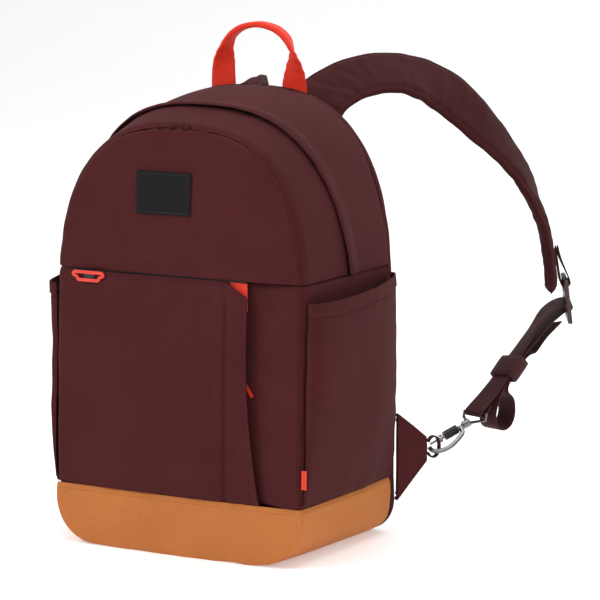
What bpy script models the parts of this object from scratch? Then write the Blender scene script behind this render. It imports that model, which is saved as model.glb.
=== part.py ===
"""Travel daypack: clamshell bag body, boot, pockets, haul handle, shoulder straps and snap hook.

Metres, +Z up. The front faces -Y, the wearer's right-hand side is +X, and the origin is the middle
of the base on the ground. Every fabric wall is a solid of the real wall's thickness.
"""
import math

import bmesh
import bpy
from mathutils import Matrix, Vector

# Bag body
FRONT_HALF = 0.1205        # half width of the front panel
REAR_HALF = 0.1305         # half width of the back panel
FRONT_TOP = 0.369          # height of the front panel's arch
REAR_TOP = 0.393           # height of the back panel's arch
SPRING = 0.215             # height where the straight sides turn into the arch
ARCH_POWER = 2.6           # squareness of the arch: 2 is an ellipse
FRONT_Y = -0.080           # front seam at the base
REAR_Y = 0.080             # rear seam at the base
FRONT_LEAN = 0.033         # how far the front seam comes back per metre of height
REAR_LEAN = 0.036          # how far the rear seam comes forward per metre of height
TOP_CROWN = 0.006          # crown of the top gusset between the seams
SIDE_CROWN = 0.002
FRONT_CORNER = 0.042       # radius of the boot's lower front corners
REAR_CORNER = 0.030
FRONT_BULGE = 0.0045
WALL = 0.0024              # shell fabric with its foam and lining
BACK_WALL = 0.006
GAP = 0.0003               # between sewn neighbours

# Boot, pockets and flap
TAN_TOP = 0.052            # top edge of the boot
FOLD_Z = 0.2415            # cross seam that the clamshell flap folds on
FOLD_Y = -0.0860           # fold axis, just in front of the crown of the front panel
FOLD_GAP = 0.0011
ZIP_Y = 0.0045             # main zip's depth at the fold height
ZIP_RAKE = 0.190           # how far the main zip comes forward per metre of height
ZIP_CHANNEL = 0.0040       # gap between the two walls along the main zip
FOLD_RELIEF = 0.0045       # how far the flap's side wall is cut back from the zip at the fold
FOLD_RELIEF_RISE = 0.018   # height over which that cut runs out
TAPE_CHANNEL = 0.0024      # gap between the two zip tapes
TAPE_WIDTH = 0.0095
TAPE = 0.0010
POCKET_SLIT = 0.0046       # slit of the front pocket's zip
POCKET_DEPTH = 0.022
SLASH_STITCH_X = 0.049     # stitched root of the slash flap
SLASH_EDGE_X = 0.069       # its free edge
SLASH_FACING_X = 0.0640    # where the facing behind it starts
SLASH_GAP = 0.0060         # hand gap between flap and facing
SLASH_CUT = 0.0125         # drop of the diagonal cut at the top of the flap
SIDE_POCKET_MOUTH = 0.2265
SIDE_POCKET_RISE = 0.009   # how much higher the mouth is at the rear
SIDE_POCKET_BULGE = 0.0140
POCKET_WALL = 0.0018

# Straps and webbing
WEBBING = 0.020
WEBBING_THICK = 0.0014
STRAP_THICK = 0.0115
HANDLE_WIDTH = 0.025
HANDLE_THICK = 0.0022
WING_THICK = 0.0040

# Hook and buckles
SHANK_R = 0.0019
BARREL_R = 0.0042
RING_WIRE = 0.0015
BUCKLE_WIDTH = 0.028
BUCKLE_LENGTH = 0.042
BUCKLE_THICK = 0.0042
RUNNING = 0.00015          # radial clearance of the turning lock sleeve

# Smaller sewn pieces and hardware
BACK_PAD = 0.008
BOARD_HALF = 0.104
BOARD_THICK = 0.0014
SLEEVE_DEPTH = 0.026
SLEEVE_TOP = 0.285
SLEEVE_CLEAR = 0.0009
BASE_BOARD_HALF = 0.074
PATCH_LEFT = -0.0385
PATCH_WIDTH = 0.0535
PATCH_LOW = 0.2935
PATCH_HEIGHT = 0.0365
PATCH_THICK = 0.0010
TAB_RIGHT = 0.0672
TAB_LOW = 0.216
SLIDER_WIDTH = 0.0085
SLIDER_LENGTH = 0.0100
SLIDER_PLATE = 0.0013
SLIDER_POST = 0.0013
SLIDER_POST_LENGTH = 0.0040
SLIDER_CLEAR = 0.0008
MAIN_SLIDER_HEIGHTS = (0.2900, 0.2600)
PULL_WIDTH = 0.0070
PULL_LENGTH = 0.0260
PULL_THICK = 0.0016
PULL_RAIL = 0.0019
PULL_PLAY = 0.0004
PULL_LIFT = 0.0006          # pull off its slider
BRIDGE_LENGTH = 0.0016
PULL_TOP = 0.0040          # pull's top edge above the slider's middle
RING_WIDTH = 0.0330
RING_HEIGHT = 0.0122
RING_RAIL = 0.0030
RING_X = -0.0850
FRONT_SLIDER_WIDTH = 0.0062
SLASH_SLIDER_Z = 0.158
HANDLE_FOOT_X = 0.0355
HANDLE_FOLD_Z = 0.3940
HANDLE_SEWN = 0.020
HANDLE_RISE = 0.0590
BUCKLE_LOW = (0.1015, 0.1690)              # lower and upper ends of the right ladder lock
BUCKLE_HIGH = (0.0938, 0.2103)
BUCKLE_SLOT = 0.0062
BUCKLE_SLOT_UPPER = 0.0070
TAB_BAR = 0.01825
TAB_TURN = 0.0046
BAR_OFFSET = -0.0060
BAR_HALF = 0.0016
BAR_TURN = 0.0037
RING_TURN = 0.0030
STRAND = 0.0028            # spacing of the layers in the keeper
KEEPER_AT = (0.0190, 0.1345)
KEEPER_SLOPE = 41.0
KEEPER_DEPTH = 0.0086
KEEPER_LENGTH = 0.0230
LOOP_WIDTH = 0.0044
LEFT_LOCK_OUT = 0.0145
SHANK_SLOPE = math.radians(24.0)
SHANK_ROLL = math.radians(57.0)            # how far the hook is rolled out of the upright plane
GATE_TIP = -0.0115         # along the shank's line from its start
BARREL_FROM, BARREL_TO = 0.0038, 0.0172
NECK_TO = 0.0295
BOW_R = 0.0021
KNUCKLE_HALF = 0.0030
GATE_HALF = 0.0014
PIN_R = 0.0007
RING_INNER = 0.0225

COLLECTION = "travel_backpack"


def clear_scene():
    for old in list(bpy.data.objects):
        bpy.data.objects.remove(old, do_unlink=True)
    parts = bpy.data.collections.new(COLLECTION)
    cutters = bpy.data.collections.new("cutters")
    cutters.hide_render = True
    for made in (parts, cutters):
        bpy.context.scene.collection.children.link(made)
    return parts, cutters


PARTS, CUTTERS = clear_scene()


def material(name, colour, roughness, metallic=0.0):
    made = bpy.data.materials.new(name)
    made.use_nodes = True
    shader = made.node_tree.nodes["Principled BSDF"]
    shader.inputs["Base Color"].default_value = (*colour, 1.0)
    shader.inputs["Roughness"].default_value = roughness
    shader.inputs["Metallic"].default_value = metallic
    return made


SHELL = material("shell_fabric", (0.085, 0.018, 0.021), 0.85)
BOOT = material("boot_fabric", (0.515, 0.171, 0.048), 0.80)
ACCENT = material("accent_orange", (0.650, 0.030, 0.012), 0.55)
LINING = material("lining_fabric", (0.160, 0.160, 0.165), 0.80)
MESH = material("air_mesh", (0.050, 0.014, 0.016), 0.95)
WEB = material("webbing", (0.075, 0.015, 0.018), 0.70)
PATCH = material("patch_fabric", (0.012, 0.011, 0.013), 0.80)
BOARD = material("stiffener_board", (0.030, 0.030, 0.032), 0.50)
ZIP = material("zip_tape", (0.020, 0.008, 0.009), 0.75)
ZINC = material("slider_zinc", (0.070, 0.068, 0.070), 0.35, 1.0)
STEEL = material("hook_steel", (0.420, 0.410, 0.400), 0.22, 1.0)
DARK_STEEL = material("hook_dark_steel", (0.060, 0.065, 0.075), 0.35, 1.0)
BUCKLE = material("buckle_plastic", (0.060, 0.014, 0.017), 0.45)


def new_object(name, mesh, slot, collection=PARTS):
    made = bpy.data.objects.new(name, mesh)
    collection.objects.link(made)
    if slot:
        mesh.materials.append(slot)
    if collection is CUTTERS:
        made.hide_render = True
        made.display_type = "WIRE"
    return made


def place_origin(piece, origin):
    """Moves the object's origin to a joint's axis without moving the piece."""
    bpy.context.view_layer.update()
    inside = piece.matrix_world.inverted() @ Vector(origin)
    piece.data.transform(Matrix.Translation(-inside))
    piece.matrix_world.translation = origin


def surface(name, rows, thickness, slot, outward):
    """A sewn wall: a grid of points on the outer face, made solid inwards."""
    shape = bmesh.new()
    grid = [[shape.verts.new(point) for point in row] for row in rows]
    for low, high in zip(grid, grid[1:]):
        for a, b, c, d in zip(low, low[1:], high[1:], high):
            shape.faces.new((a, b, c, d))
    bmesh.ops.remove_doubles(shape, verts=shape.verts[:], dist=1e-5)
    bmesh.ops.recalc_face_normals(shape, faces=shape.faces[:])
    shape.faces.ensure_lookup_table()
    middle = max(shape.faces, key=lambda face: face.calc_area())
    facing = outward(middle.calc_center_median()) if callable(outward) else Vector(outward)
    if middle.normal.dot(facing) < 0:
        bmesh.ops.reverse_faces(shape, faces=shape.faces[:])
    mesh = bpy.data.meshes.new(name)
    shape.to_mesh(mesh)
    shape.free()
    piece = new_object(name, mesh, slot)
    wall = piece.modifiers.new("wall", "SOLIDIFY")
    wall.thickness = thickness
    wall.offset = -1.0
    wall.use_even_offset = True
    return piece


def steps(start, end, count):
    return [start + (end - start) * i / (count - 1) for i in range(count)]


# ---------------------------------------------------------------- body skin

def front_seam_y(z):
    return FRONT_Y + FRONT_LEAN * z


def rear_seam_y(z):
    return REAR_Y - REAR_LEAN * z


def crown(depth):
    return 4.0 * depth * (1.0 - depth)


def half_width(depth):
    return FRONT_HALF + (REAR_HALF - FRONT_HALF) * depth + SIDE_CROWN * crown(depth)


def top_height(depth):
    return FRONT_TOP + (REAR_TOP - FRONT_TOP) * depth + TOP_CROWN * crown(depth)


def corner_radius(depth):
    return FRONT_CORNER + (REAR_CORNER - FRONT_CORNER) * depth


def half_at(depth, z):
    """Half width of the body's outline at a height."""
    half, top, corner = half_width(depth), top_height(depth), corner_radius(depth)
    if z < corner:
        return half - corner + math.sqrt(max(0.0, corner ** 2 - (corner - z) ** 2))
    if z > SPRING:
        share = min(1.0, (z - SPRING) / (top - SPRING))
        return half * (1.0 - share ** ARCH_POWER) ** (1.0 / ARCH_POWER)
    return half


def arch_start(depth, z):
    share = (z - SPRING) / (top_height(depth) - SPRING)
    return math.asin(share ** (ARCH_POWER / 2.0))


def arch_point(depth, angle):
    """(x, z) on the arch, from the right-hand side at 0 over the top to the left at pi."""
    power = 2.0 / ARCH_POWER
    x = half_width(depth) * abs(math.cos(angle)) ** power
    z = SPRING + (top_height(depth) - SPRING) * abs(math.sin(angle)) ** power
    return (x if math.cos(angle) > 0 else -x), z


def depth_of(y, z):
    return (y - front_seam_y(z)) / (rear_seam_y(z) - front_seam_y(z))


def skin_y(depth, z):
    return front_seam_y(z) + (rear_seam_y(z) - front_seam_y(z)) * depth


def zip_line_y(z):
    return ZIP_Y - ZIP_RAKE * (z - FOLD_Z)


def bulge(x, z):
    """How far the front stands forward of its seam."""
    half = max(half_at(0.0, z), 0.02)
    across = max(0.0, 1.0 - (x / half) ** 2)
    up = max(0.0, 1.0 - ((z - 0.19) / 0.19) ** 2)
    return FRONT_BULGE * across * (0.25 + 0.75 * up)


def front_y(x, z):
    return front_seam_y(z) - bulge(x, z)


def outline_heights(depth, low, high, arch_steps=7):
    """Heights of the outline's rows between two heights, closer together where it curves."""
    corner, top = corner_radius(depth), top_height(depth)
    heights = {low, high}
    if low < corner:
        heights |= {corner * (1 - math.cos(math.radians(a))) for a in (0, 22, 45, 66, 90)}
    heights |= set(steps(corner, SPRING, 4))
    first = arch_start(depth, max(low, SPRING))
    for angle in steps(first, math.pi / 2, arch_steps):
        heights.add(SPRING + (top - SPRING) * math.sin(angle) ** (2 / ARCH_POWER))
    kept = sorted(z for z in heights if low <= z <= high)
    return [z for i, z in enumerate(kept) if i == 0 or z - kept[i - 1] > 0.0015]


def front_rows(low, high, left=None, right=None, y_of=front_y, across=7, inset=0.0):
    """Rows of a front panel between two heights; left and right are edges in x, or the seams."""
    rows = []
    for z in outline_heights(0.0, low, high):
        half = max(half_at(0.0, z) - inset, 0.0)
        start = -half if left is None else left(z)
        end = half if right is None else right(z)
        rows.append([(x, y_of(x, z), z) for x in steps(start, end, across)])
    return rows


def side_rows(side, low, high, first, last, across=6, up=4):
    """Rows of a side wall; first and last give the y limits at a height."""
    rows = []
    for z in steps(low, high, up):
        row = []
        for y in steps(first(z), last(z), across):
            row.append((side * half_at(depth_of(y, z), z), y, z))
        rows.append(row)
    return rows


def arch_rows(low, first, last, count=25, across=5, inset=0.0):
    """Rows over the arch from the right-hand side to the left; first and last give y limits."""
    rows = []
    for i in range(count):
        row = []
        for share in steps(0.0, 1.0, across):
            depth, x, z = 0.5, 0.0, low
            for _ in range(12):
                start = arch_start(depth, low)
                angle = start + (math.pi - 2 * start) * i / (count - 1)
                x, z = arch_point(depth, angle)
                depth = depth_of(first(z) + (last(z) - first(z)) * share, z)
            point = Vector((x, skin_y(depth, z), z))
            row.append(point - arch_normal(depth, angle) * inset)
        rows.append(row)
    return rows


def arch_normal(depth, angle):
    """Outward normal of the arch, across the bag's depth."""
    after, before = arch_point(depth, angle + 0.01), arch_point(depth, angle - 0.01)
    return Vector((after[1] - before[1], 0.0, before[0] - after[0])).normalized()


def out_of_body(point):
    return Vector((point.x, 0.0, point.z - 0.19))


def after_front(z):
    return front_seam_y(z) + WALL + GAP


def before_rear(z):
    return rear_seam_y(z) - GAP


# ---------------------------------------------------------------- boot

def make_boot():
    surface("boot_front", front_rows(0.0, TAN_TOP - GAP / 2), WALL, BOOT, (0, -1, 0))
    rows = []
    low_steps = [("side", z) for z in steps(TAN_TOP - GAP / 2, FRONT_CORNER + 0.001, 2)]
    low_steps += [("corner", a) for a in (0, 22.5, 45, 67.5, 90)]
    path = low_steps + [("flat", x) for x in (0.5, 0.0, -0.5)]
    path += [(kind, value, -1) for kind, value in reversed(low_steps)]
    for kind, value, *mirrored in path:
        sign = -1 if mirrored else 1
        row = []
        for share in steps(0.0, 1.0, 5):
            depth = share
            for _ in range(8):
                half, corner = half_width(depth), corner_radius(depth)
                if kind == "side":
                    x, z = half, value
                elif kind == "corner":
                    angle = math.radians(value)
                    x, z = half - corner * (1 - math.cos(angle)), corner * (1 - math.sin(angle))
                else:
                    x, z = (half - corner) * value, 0.0
                y = after_front(z) + (before_rear(z) - after_front(z)) * share
                depth = depth_of(y, z)
            row.append((sign * x, y, z))
        rows.append(row)
    surface("boot_gusset", rows, WALL, BOOT, out_of_body)


# ---------------------------------------------------------------- back

def make_back():
    depth = 1.0
    rows = []
    for z in outline_heights(depth, 0.0004, REAR_TOP):
        half = half_at(depth, z)
        y = rear_seam_y(z) + BACK_WALL
        rows.append([(x, y, z) for x in steps(-half, half, 5)])
    surface("back_panel", rows, BACK_WALL, SHELL, (0, 1, 0))

    for side, name in ((1, "right"), (-1, "left")):
        rows = []
        for z in steps(0.045, 0.335, 5):
            y = rear_seam_y(z) + BACK_WALL + GAP + BACK_PAD
            rows.append([(side * x, y, z) for x in steps(0.018, 0.104, 3)])
        pad = surface(f"back_pad_{name}", rows, BACK_PAD, MESH, (0, 1, 0))
        soften = pad.modifiers.new("soft_edge", "BEVEL")
        soften.width = BACK_PAD * 0.4
        soften.limit_method = "ANGLE"
        soften.angle_limit = math.radians(50)

    rows = []
    for z in steps(0.020, 0.345, 4):
        half = min(BOARD_HALF, half_at(1.0, z) - 0.016)
        rows.append([(x, rear_seam_y(z) - GAP, z) for x in steps(-half, half, 3)])
    surface("back_board", rows, BOARD_THICK, BOARD, (0, 1, 0))

    rows = []
    for z in steps(0.040, SLEEVE_TOP, 4):
        y = rear_seam_y(z) - SLEEVE_DEPTH
        half = half_at(depth_of(y, z), z) - WALL - SLEEVE_CLEAR
        rows.append([(x, y, z) for x in steps(-half, half, 5)])
    surface("laptop_sleeve", rows, 0.0020, LINING, (0, 1, 0))

    z = WALL + GAP + BOARD_THICK
    corners = [[(x, y, z) for x in (-BASE_BOARD_HALF, BASE_BOARD_HALF)]
               for y in (front_seam_y(z) + WALL + 0.002, rear_seam_y(z) - 0.004)]
    surface("base_board", corners, BOARD_THICK, BOARD, (0, 0, 1))


# ---------------------------------------------------------------- side walls and gussets

def make_sides():
    for side, name in ((1, "right"), (-1, "left")):
        rows = side_rows(side, TAN_TOP + GAP / 2, FOLD_Z - GAP / 2, after_front, before_rear, up=5)
        surface(f"side_panel_{name}", rows, WALL, SHELL, (side, 0, 0))

        def pocket_outset(across, height):
            fullness = (1 - (1 - height) ** 3) * (1 - 0.12 * height ** 2)
            swell = SIDE_POCKET_BULGE * max(0.0, math.sin(math.pi * across)) ** 0.42
            return POCKET_WALL + 2 * GAP + swell * fullness

        rows = []
        for share in steps(0.0, 1.0, 6):
            row = []
            for across in [0.5 - 0.5 * math.cos(math.pi * i / 10) for i in range(11)]:
                mouth = SIDE_POCKET_MOUTH + SIDE_POCKET_RISE * across ** 2
                z = TAN_TOP + 2 * GAP + (mouth - TAN_TOP - 2 * GAP) * share
                y = after_front(z) + (before_rear(z) - after_front(z)) * (0.006 + 0.988 * across)
                depth = depth_of(y, z)
                row.append((side * (half_at(depth, z) + pocket_outset(across, share)), y, z))
            rows.append(row)
        surface(f"side_pocket_{name}", rows, POCKET_WALL, SHELL, (side, 0, 0))

    rear_edge = ZIP_CHANNEL / 2
    rows = arch_rows(FOLD_Z + GAP / 2, lambda z: zip_line_y(z) + rear_edge, before_rear)
    surface("gusset_rear", rows, WALL, SHELL, out_of_body)
    tape_edge = TAPE_CHANNEL / 2
    rows = arch_rows(FOLD_Z + GAP / 2, lambda z: zip_line_y(z) + tape_edge,
                     lambda z: zip_line_y(z) + tape_edge + TAPE_WIDTH,
                     across=2, inset=WALL + 2 * GAP)
    surface("main_zip_tape_rear", rows, TAPE, ZIP, out_of_body)


def make_flap():
    low = FOLD_Z + FOLD_GAP

    def gusset_edge(z):
        """The side wall's edge at the zip, cut back low down to clear the lower slider as it opens."""
        relief = FOLD_RELIEF * max(0.0, 1 - (z - FOLD_Z) / FOLD_RELIEF_RISE)
        return zip_line_y(z) - ZIP_CHANNEL / 2 - relief

    panel = surface("flap_front_panel", front_rows(low, FRONT_TOP), WALL, SHELL, (0, -1, 0))
    rows = arch_rows(low, after_front, gusset_edge)
    gusset = surface("flap_gusset", rows, WALL, SHELL, out_of_body)
    tape_edge = TAPE_CHANNEL / 2
    rows = arch_rows(low, lambda z: zip_line_y(z) - tape_edge - TAPE_WIDTH,
                     lambda z: zip_line_y(z) - tape_edge, across=2, inset=WALL + 2 * GAP)
    tape = surface("main_zip_tape_flap", rows, TAPE, ZIP, out_of_body)

    def patch_y(x, z):
        return front_y(x, z) - GAP - PATCH_THICK

    rows = [[(x, patch_y(x, z), z) for x in steps(PATCH_LEFT, PATCH_LEFT + PATCH_WIDTH, 4)]
            for z in steps(PATCH_LOW, PATCH_LOW + PATCH_HEIGHT, 3)]
    patch = surface("front_patch", rows, PATCH_THICK, PATCH, (0, -1, 0))
    for piece in (panel, gusset, tape, patch):
        place_origin(piece, (0.0, FOLD_Y, FOLD_Z))


# ---------------------------------------------------------------- front pocket

def slash_edge(z):
    """Free edge of the slash flap, with the diagonal cut at its top."""
    cut_low = FOLD_Z - FOLD_GAP - SLASH_CUT
    if z > cut_low:
        share = (z - cut_low) / SLASH_CUT
        return SLASH_EDGE_X + (SLASH_STITCH_X - SLASH_EDGE_X) * share
    return SLASH_EDGE_X + 0.013 * max(0.0, (0.185 - z) / 0.133) ** 2


def facing_y(x, z):
    """The facing lies behind the flap's edge and comes out to the corner seam."""
    share = min(1.0, max(0.0, (x - SLASH_FACING_X - 0.004) / 0.044))
    back = front_y(SLASH_EDGE_X, z) + WALL + SLASH_GAP
    ease = share * share * (3 - 2 * share)
    return back + (front_y(x, z) - back) * ease


def make_front_pocket():
    low = TAN_TOP + GAP / 2
    slit_high = FOLD_Z - FOLD_GAP - WALL
    slit_low = slit_high - POCKET_SLIT

    # The pocket face is one cloth; its right-hand margin is the slash flap, cut higher than the zip.
    rows = []
    for z in steps(low, slit_low, 6) + [slit_low + 0.0001]:
        half = half_at(0.0, z)
        rows.append([(x, front_y(x, z), z) for x in steps(-half, SLASH_STITCH_X, 6)]
                    + [(x, front_y(x, z), z) for x in steps(SLASH_STITCH_X, slash_edge(z), 3)[1:]])
    rows.pop()
    surface("front_pocket_panel", rows, WALL, SHELL, (0, -1, 0))

    rows = [[(x, facing_y(x, z), z) for x in steps(SLASH_FACING_X, half_at(0.0, z), 7)]
            for z in steps(low, FOLD_Z - GAP, 6)]
    surface("slash_facing", rows, WALL, SHELL, (0, -1, 0))

    # Cross strip under the fold: it carries the upper edge of the front zip.
    rear = front_seam_y(FOLD_Z) + POCKET_DEPTH
    rows = [[(x, y, FOLD_Z - GAP) for x in steps(-half_at(0.03, FOLD_Z) + WALL + 0.001,
                                                    SLASH_FACING_X - GAP - 0.001, 5)]
            for y in (front_seam_y(FOLD_Z) + WALL + GAP, rear)]
    surface("front_zip_ledge", rows, WALL - GAP, LINING, (0, 0, 1))

    rows = []
    for z in steps(low + 0.001, FOLD_Z - WALL - 2 * GAP, 3):
        half = half_at(0.15, z) - WALL - 0.0006
        y = front_seam_y(z) + POCKET_DEPTH
        rows.append([(x, y, z) for x in steps(-half, half, 4)])
    surface("front_pocket_divider", rows, 0.0016, LINING, (0, 1, 0))

    tape_y = WALL + GAP
    zip_right = SLASH_STITCH_X - 0.004
    zip_left = -half_at(0.0, FOLD_Z) + 0.006
    rows = [[(x, front_y(x, z) + tape_y, z) for x in steps(zip_left, zip_right, 5)]
            for z in (slit_low - TAPE_WIDTH, slit_low)]
    surface("front_zip_tape_lower", rows, TAPE, ZIP, (0, -1, 0))
    return slit_low, slit_high


def make_slash_pocket():
    top = FOLD_Z - FOLD_GAP - SLASH_CUT - 0.001
    lining_front = front_y(SLASH_EDGE_X, 0.14) + WALL + SLASH_GAP

    def lining_y(x, z):
        return front_y(SLASH_EDGE_X, z) + WALL + SLASH_GAP

    tape_right = SLASH_FACING_X - GAP
    tape_left = tape_right - TAPE_WIDTH
    rows = [[(x, lining_y(x, z), z) for x in (tape_left, tape_right)]
            for z in steps(TAN_TOP + 0.006, top, 3)]
    surface("slash_zip_tape", rows, TAPE, ZIP, (0, -1, 0))
    rows = [[(x, lining_y(x, z), z) for x in steps(-0.052, tape_left - GAP, 3)]
            for z in steps(TAN_TOP + 0.006, top, 3)]
    surface("slash_lining", rows, 0.0012, LINING, (0, -1, 0))

    # Orange end tab of the slash zip, seen in the diagonal cut.
    tab_y = lining_front - GAP
    rows = [[(x, tab_y - 0.0012, z) for x in steps(SLASH_STITCH_X + 0.0015, TAB_RIGHT, 2)]
            for z in steps(TAB_LOW, FOLD_Z - FOLD_GAP - 0.0005, 2)]
    surface("slash_end_tab", rows, 0.0012, ACCENT, (0, -1, 0))


# ---------------------------------------------------------------- zip sliders and pulls

def box(name, size, slot, round_edge=0.0, collection=PARTS):
    """A box about its own origin, with rounded edges."""
    shape = bmesh.new()
    bmesh.ops.create_cube(shape, size=1.0)
    bmesh.ops.scale(shape, vec=size, verts=shape.verts[:])
    mesh = bpy.data.meshes.new(name)
    shape.to_mesh(mesh)
    shape.free()
    made = new_object(name, mesh, slot, collection)
    if round_edge:
        edge = made.modifiers.new("round", "BEVEL")
        edge.width = round_edge
        edge.segments = 2
    return made


def place(piece, centre, along, out):
    """Turns a piece so that its local Z runs along the zip and its local Y points out of the bag."""
    along, out = Vector(along).normalized(), Vector(out).normalized()
    across = out.cross(along).normalized()
    out = along.cross(across)
    turn = Matrix((across, out, along)).transposed().to_4x4()
    piece.matrix_world = Matrix.Translation(Vector(centre)) @ turn
    return piece


def combine(piece, others, operation="UNION"):
    """Joins or cuts with helpers, which stay in the cutters collection."""
    for other in others:
        other.parent = None
        step = piece.modifiers.new(other.name, "BOOLEAN")
        step.operation = operation
        step.object = other
        step.solver = "EXACT"
    return piece


def slider(name, centre, along, out, wall_depth, width, bridge_at=0.0, bridge=0.0):
    """A slider: outer plate, post through the channel and inner plate, with a bridge for its pull."""
    out, along, centre = Vector(out).normalized(), Vector(along).normalized(), Vector(centre)
    outer_face = SLIDER_CLEAR + SLIDER_PLATE
    inner_face = wall_depth + SLIDER_CLEAR + SLIDER_PLATE
    outer = box(name, (width, SLIDER_PLATE, SLIDER_LENGTH), ZINC)
    place(outer, centre + out * (outer_face - SLIDER_PLATE / 2), along, out)
    post = box(f"{name}_post", (SLIDER_POST, outer_face + inner_face - SLIDER_PLATE, SLIDER_POST_LENGTH),
               None, collection=CUTTERS)
    place(post, centre + out * (outer_face - inner_face) / 2, along, out)
    inner = box(f"{name}_inner", (width, SLIDER_PLATE, SLIDER_LENGTH), None, collection=CUTTERS)
    place(inner, centre - out * (inner_face - SLIDER_PLATE / 2), along, out)
    joined = [post, inner]
    if bridge:
        lug = box(f"{name}_bridge", (PULL_WIDTH - 2 * PULL_RAIL - 0.0010, bridge + SLIDER_PLATE / 2,
                                     BRIDGE_LENGTH), None, collection=CUTTERS)
        lug_out = outer_face + bridge / 2 - SLIDER_PLATE / 4
        place(lug, centre + along * bridge_at + out * lug_out, along, out)
        joined.append(lug)
    combine(outer, joined)
    return outer


def slotted_plate(name, width, thick, length, rail, slot, corner=0.0):
    """A flat frame about its own origin with one long opening: a pull, a loop or a buckle bar."""
    plate = box(name, (width, thick, length), slot)
    if corner:
        edge = plate.modifiers.new("corner", "BEVEL")
        edge.width = corner
        edge.segments = 2
    hole = box(f"{name}_hole", (width - 2 * rail, thick * 3, length - 2 * rail), None, collection=CUTTERS)
    combine(plate, (hole,), "DIFFERENCE")
    return plate, hole


def make_main_zip_sliders():
    """Both sliders stand together at the lower left end of the closed zip."""
    for name, z in zip(("upper", "lower"), MAIN_SLIDER_HEIGHTS):
        depth = depth_of(zip_line_y(z), z)
        here = Vector((-half_at(depth, z), zip_line_y(z), z))
        above = z + 0.005
        along = Vector((-half_at(depth, above), zip_line_y(above), above)) - here
        out = Vector((-1.0, 0.0, 0.0))
        out = (out - along.normalized() * out.dot(along.normalized())).normalized()
        along.normalize()
        bridge_at = PULL_TOP - PULL_RAIL - PULL_PLAY - BRIDGE_LENGTH / 2
        slider(f"main_slider_{name}", here, along, out, WALL + 2 * GAP + TAPE, SLIDER_WIDTH,
               bridge_at, PULL_LIFT + PULL_THICK)
        pull, hole = slotted_plate(f"main_pull_{name}", PULL_WIDTH, PULL_THICK, PULL_LENGTH, PULL_RAIL,
                                   ACCENT)
        hang = here + out * (SLIDER_CLEAR + SLIDER_PLATE + PULL_LIFT + PULL_THICK / 2)
        for piece in (pull, hole):
            place(piece, hang + along * (PULL_TOP - PULL_LENGTH / 2), along, out)
        place_origin(pull, hang + along * (PULL_TOP - PULL_RAIL / 2))


def make_front_zip_slider(slit_low, slit_high):
    z = (slit_low + slit_high) / 2
    y = front_y(RING_X, z)
    slider("front_slider", (RING_X, y, z), (1, 0, 0), (0, -1, 0), WALL + GAP + TAPE, FRONT_SLIDER_WIDTH)
    ring_y = y - SLIDER_CLEAR - SLIDER_PLATE - GAP - PULL_THICK / 2
    ring_z = FOLD_Z - FOLD_GAP / 2 - RING_HEIGHT / 2
    ring, hole = slotted_plate("front_zip_ring", RING_HEIGHT, PULL_THICK, RING_WIDTH, RING_RAIL, ACCENT)
    for piece in (ring, hole):
        place(piece, (RING_X, ring_y, ring_z), (1, 0, 0), (0, -1, 0))
    place_origin(ring, (RING_X, ring_y, ring_z + RING_HEIGHT / 2 - RING_RAIL / 2))


def make_slash_slider():
    z = SLASH_SLIDER_Z
    x = SLASH_FACING_X - GAP - TAPE_WIDTH / 2
    y = front_y(SLASH_EDGE_X, z) + WALL + SLASH_GAP
    plate = box("slash_slider", (SLIDER_WIDTH, 0.0016, SLIDER_LENGTH), ZINC, 0.0003)
    place(plate, (x, y - GAP - 0.0008, z), (0, 0, 1), (0, -1, 0))
    pull = box("slash_pull", (0.0032, 0.0010, 0.0200), ACCENT, 0.0003)
    along = Vector((-0.0105, 0.0, 0.0150)).normalized()
    middle = Vector((x + 0.0077, y - 2 * GAP - 0.0016 - 0.0005, z - 0.0060))
    place(pull, middle, along, (0, -1, 0))
    place_origin(pull, middle + along * 0.0085)


# ---------------------------------------------------------------- bands: handle, straps, webbing

def band(name, stations, slot, segments=1, soft=0.0):
    """A flat band: stations of (centre, side hint, width, thickness), lofted and closed at both ends."""
    centres = [Vector(station[0]) for station in stations]
    shape = bmesh.new()
    rings = []
    for i, (_, hint, width, thick) in enumerate(stations):
        before, after = centres[max(i - 1, 0)], centres[min(i + 1, len(centres) - 1)]
        along = (after - before).normalized()
        hint = Vector(hint)
        side = (hint - along * hint.dot(along)).normalized()
        face = along.cross(side)
        across = steps(-0.5, 0.5, segments + 1)
        loop = [centres[i] + side * width * share + face * thick / 2 for share in across]
        loop += [centres[i] + side * width * share - face * thick / 2 for share in reversed(across)]
        rings.append([shape.verts.new(point) for point in loop])
    for low, high in zip(rings, rings[1:]):
        for j in range(len(low)):
            k = (j + 1) % len(low)
            shape.faces.new((low[j], low[k], high[k], high[j]))
    for ring in (rings[0], rings[-1]):
        half = len(ring) // 2
        for j in range(half - 1):
            shape.faces.new((ring[j], ring[j + 1], ring[-2 - j], ring[-1 - j]))
    bmesh.ops.recalc_face_normals(shape, faces=shape.faces[:])
    mesh = bpy.data.meshes.new(name)
    shape.to_mesh(mesh)
    shape.free()
    made = new_object(name, mesh, slot)
    if soft:
        edge = made.modifiers.new("soft_edge", "BEVEL")
        edge.width = soft
        edge.limit_method = "ANGLE"
        edge.angle_limit = math.radians(50)
    return made


def smooth_route(points, per_span):
    """Points of a Catmull-Rom curve through the hand-chosen points, ends included."""
    padded = [points[0] * 2 - points[1], *points, points[-1] * 2 - points[-2]]
    route = []
    for a, b, c, d in zip(padded, padded[1:], padded[2:], padded[3:]):
        for i in range(per_span):
            t = i / per_span
            route.append(0.5 * (2 * b + (c - a) * t + (2 * a - 5 * b + 4 * c - d) * t ** 2
                                + (3 * b - a - 3 * c + d) * t ** 3))
    return route + [points[-1].copy()]


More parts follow.
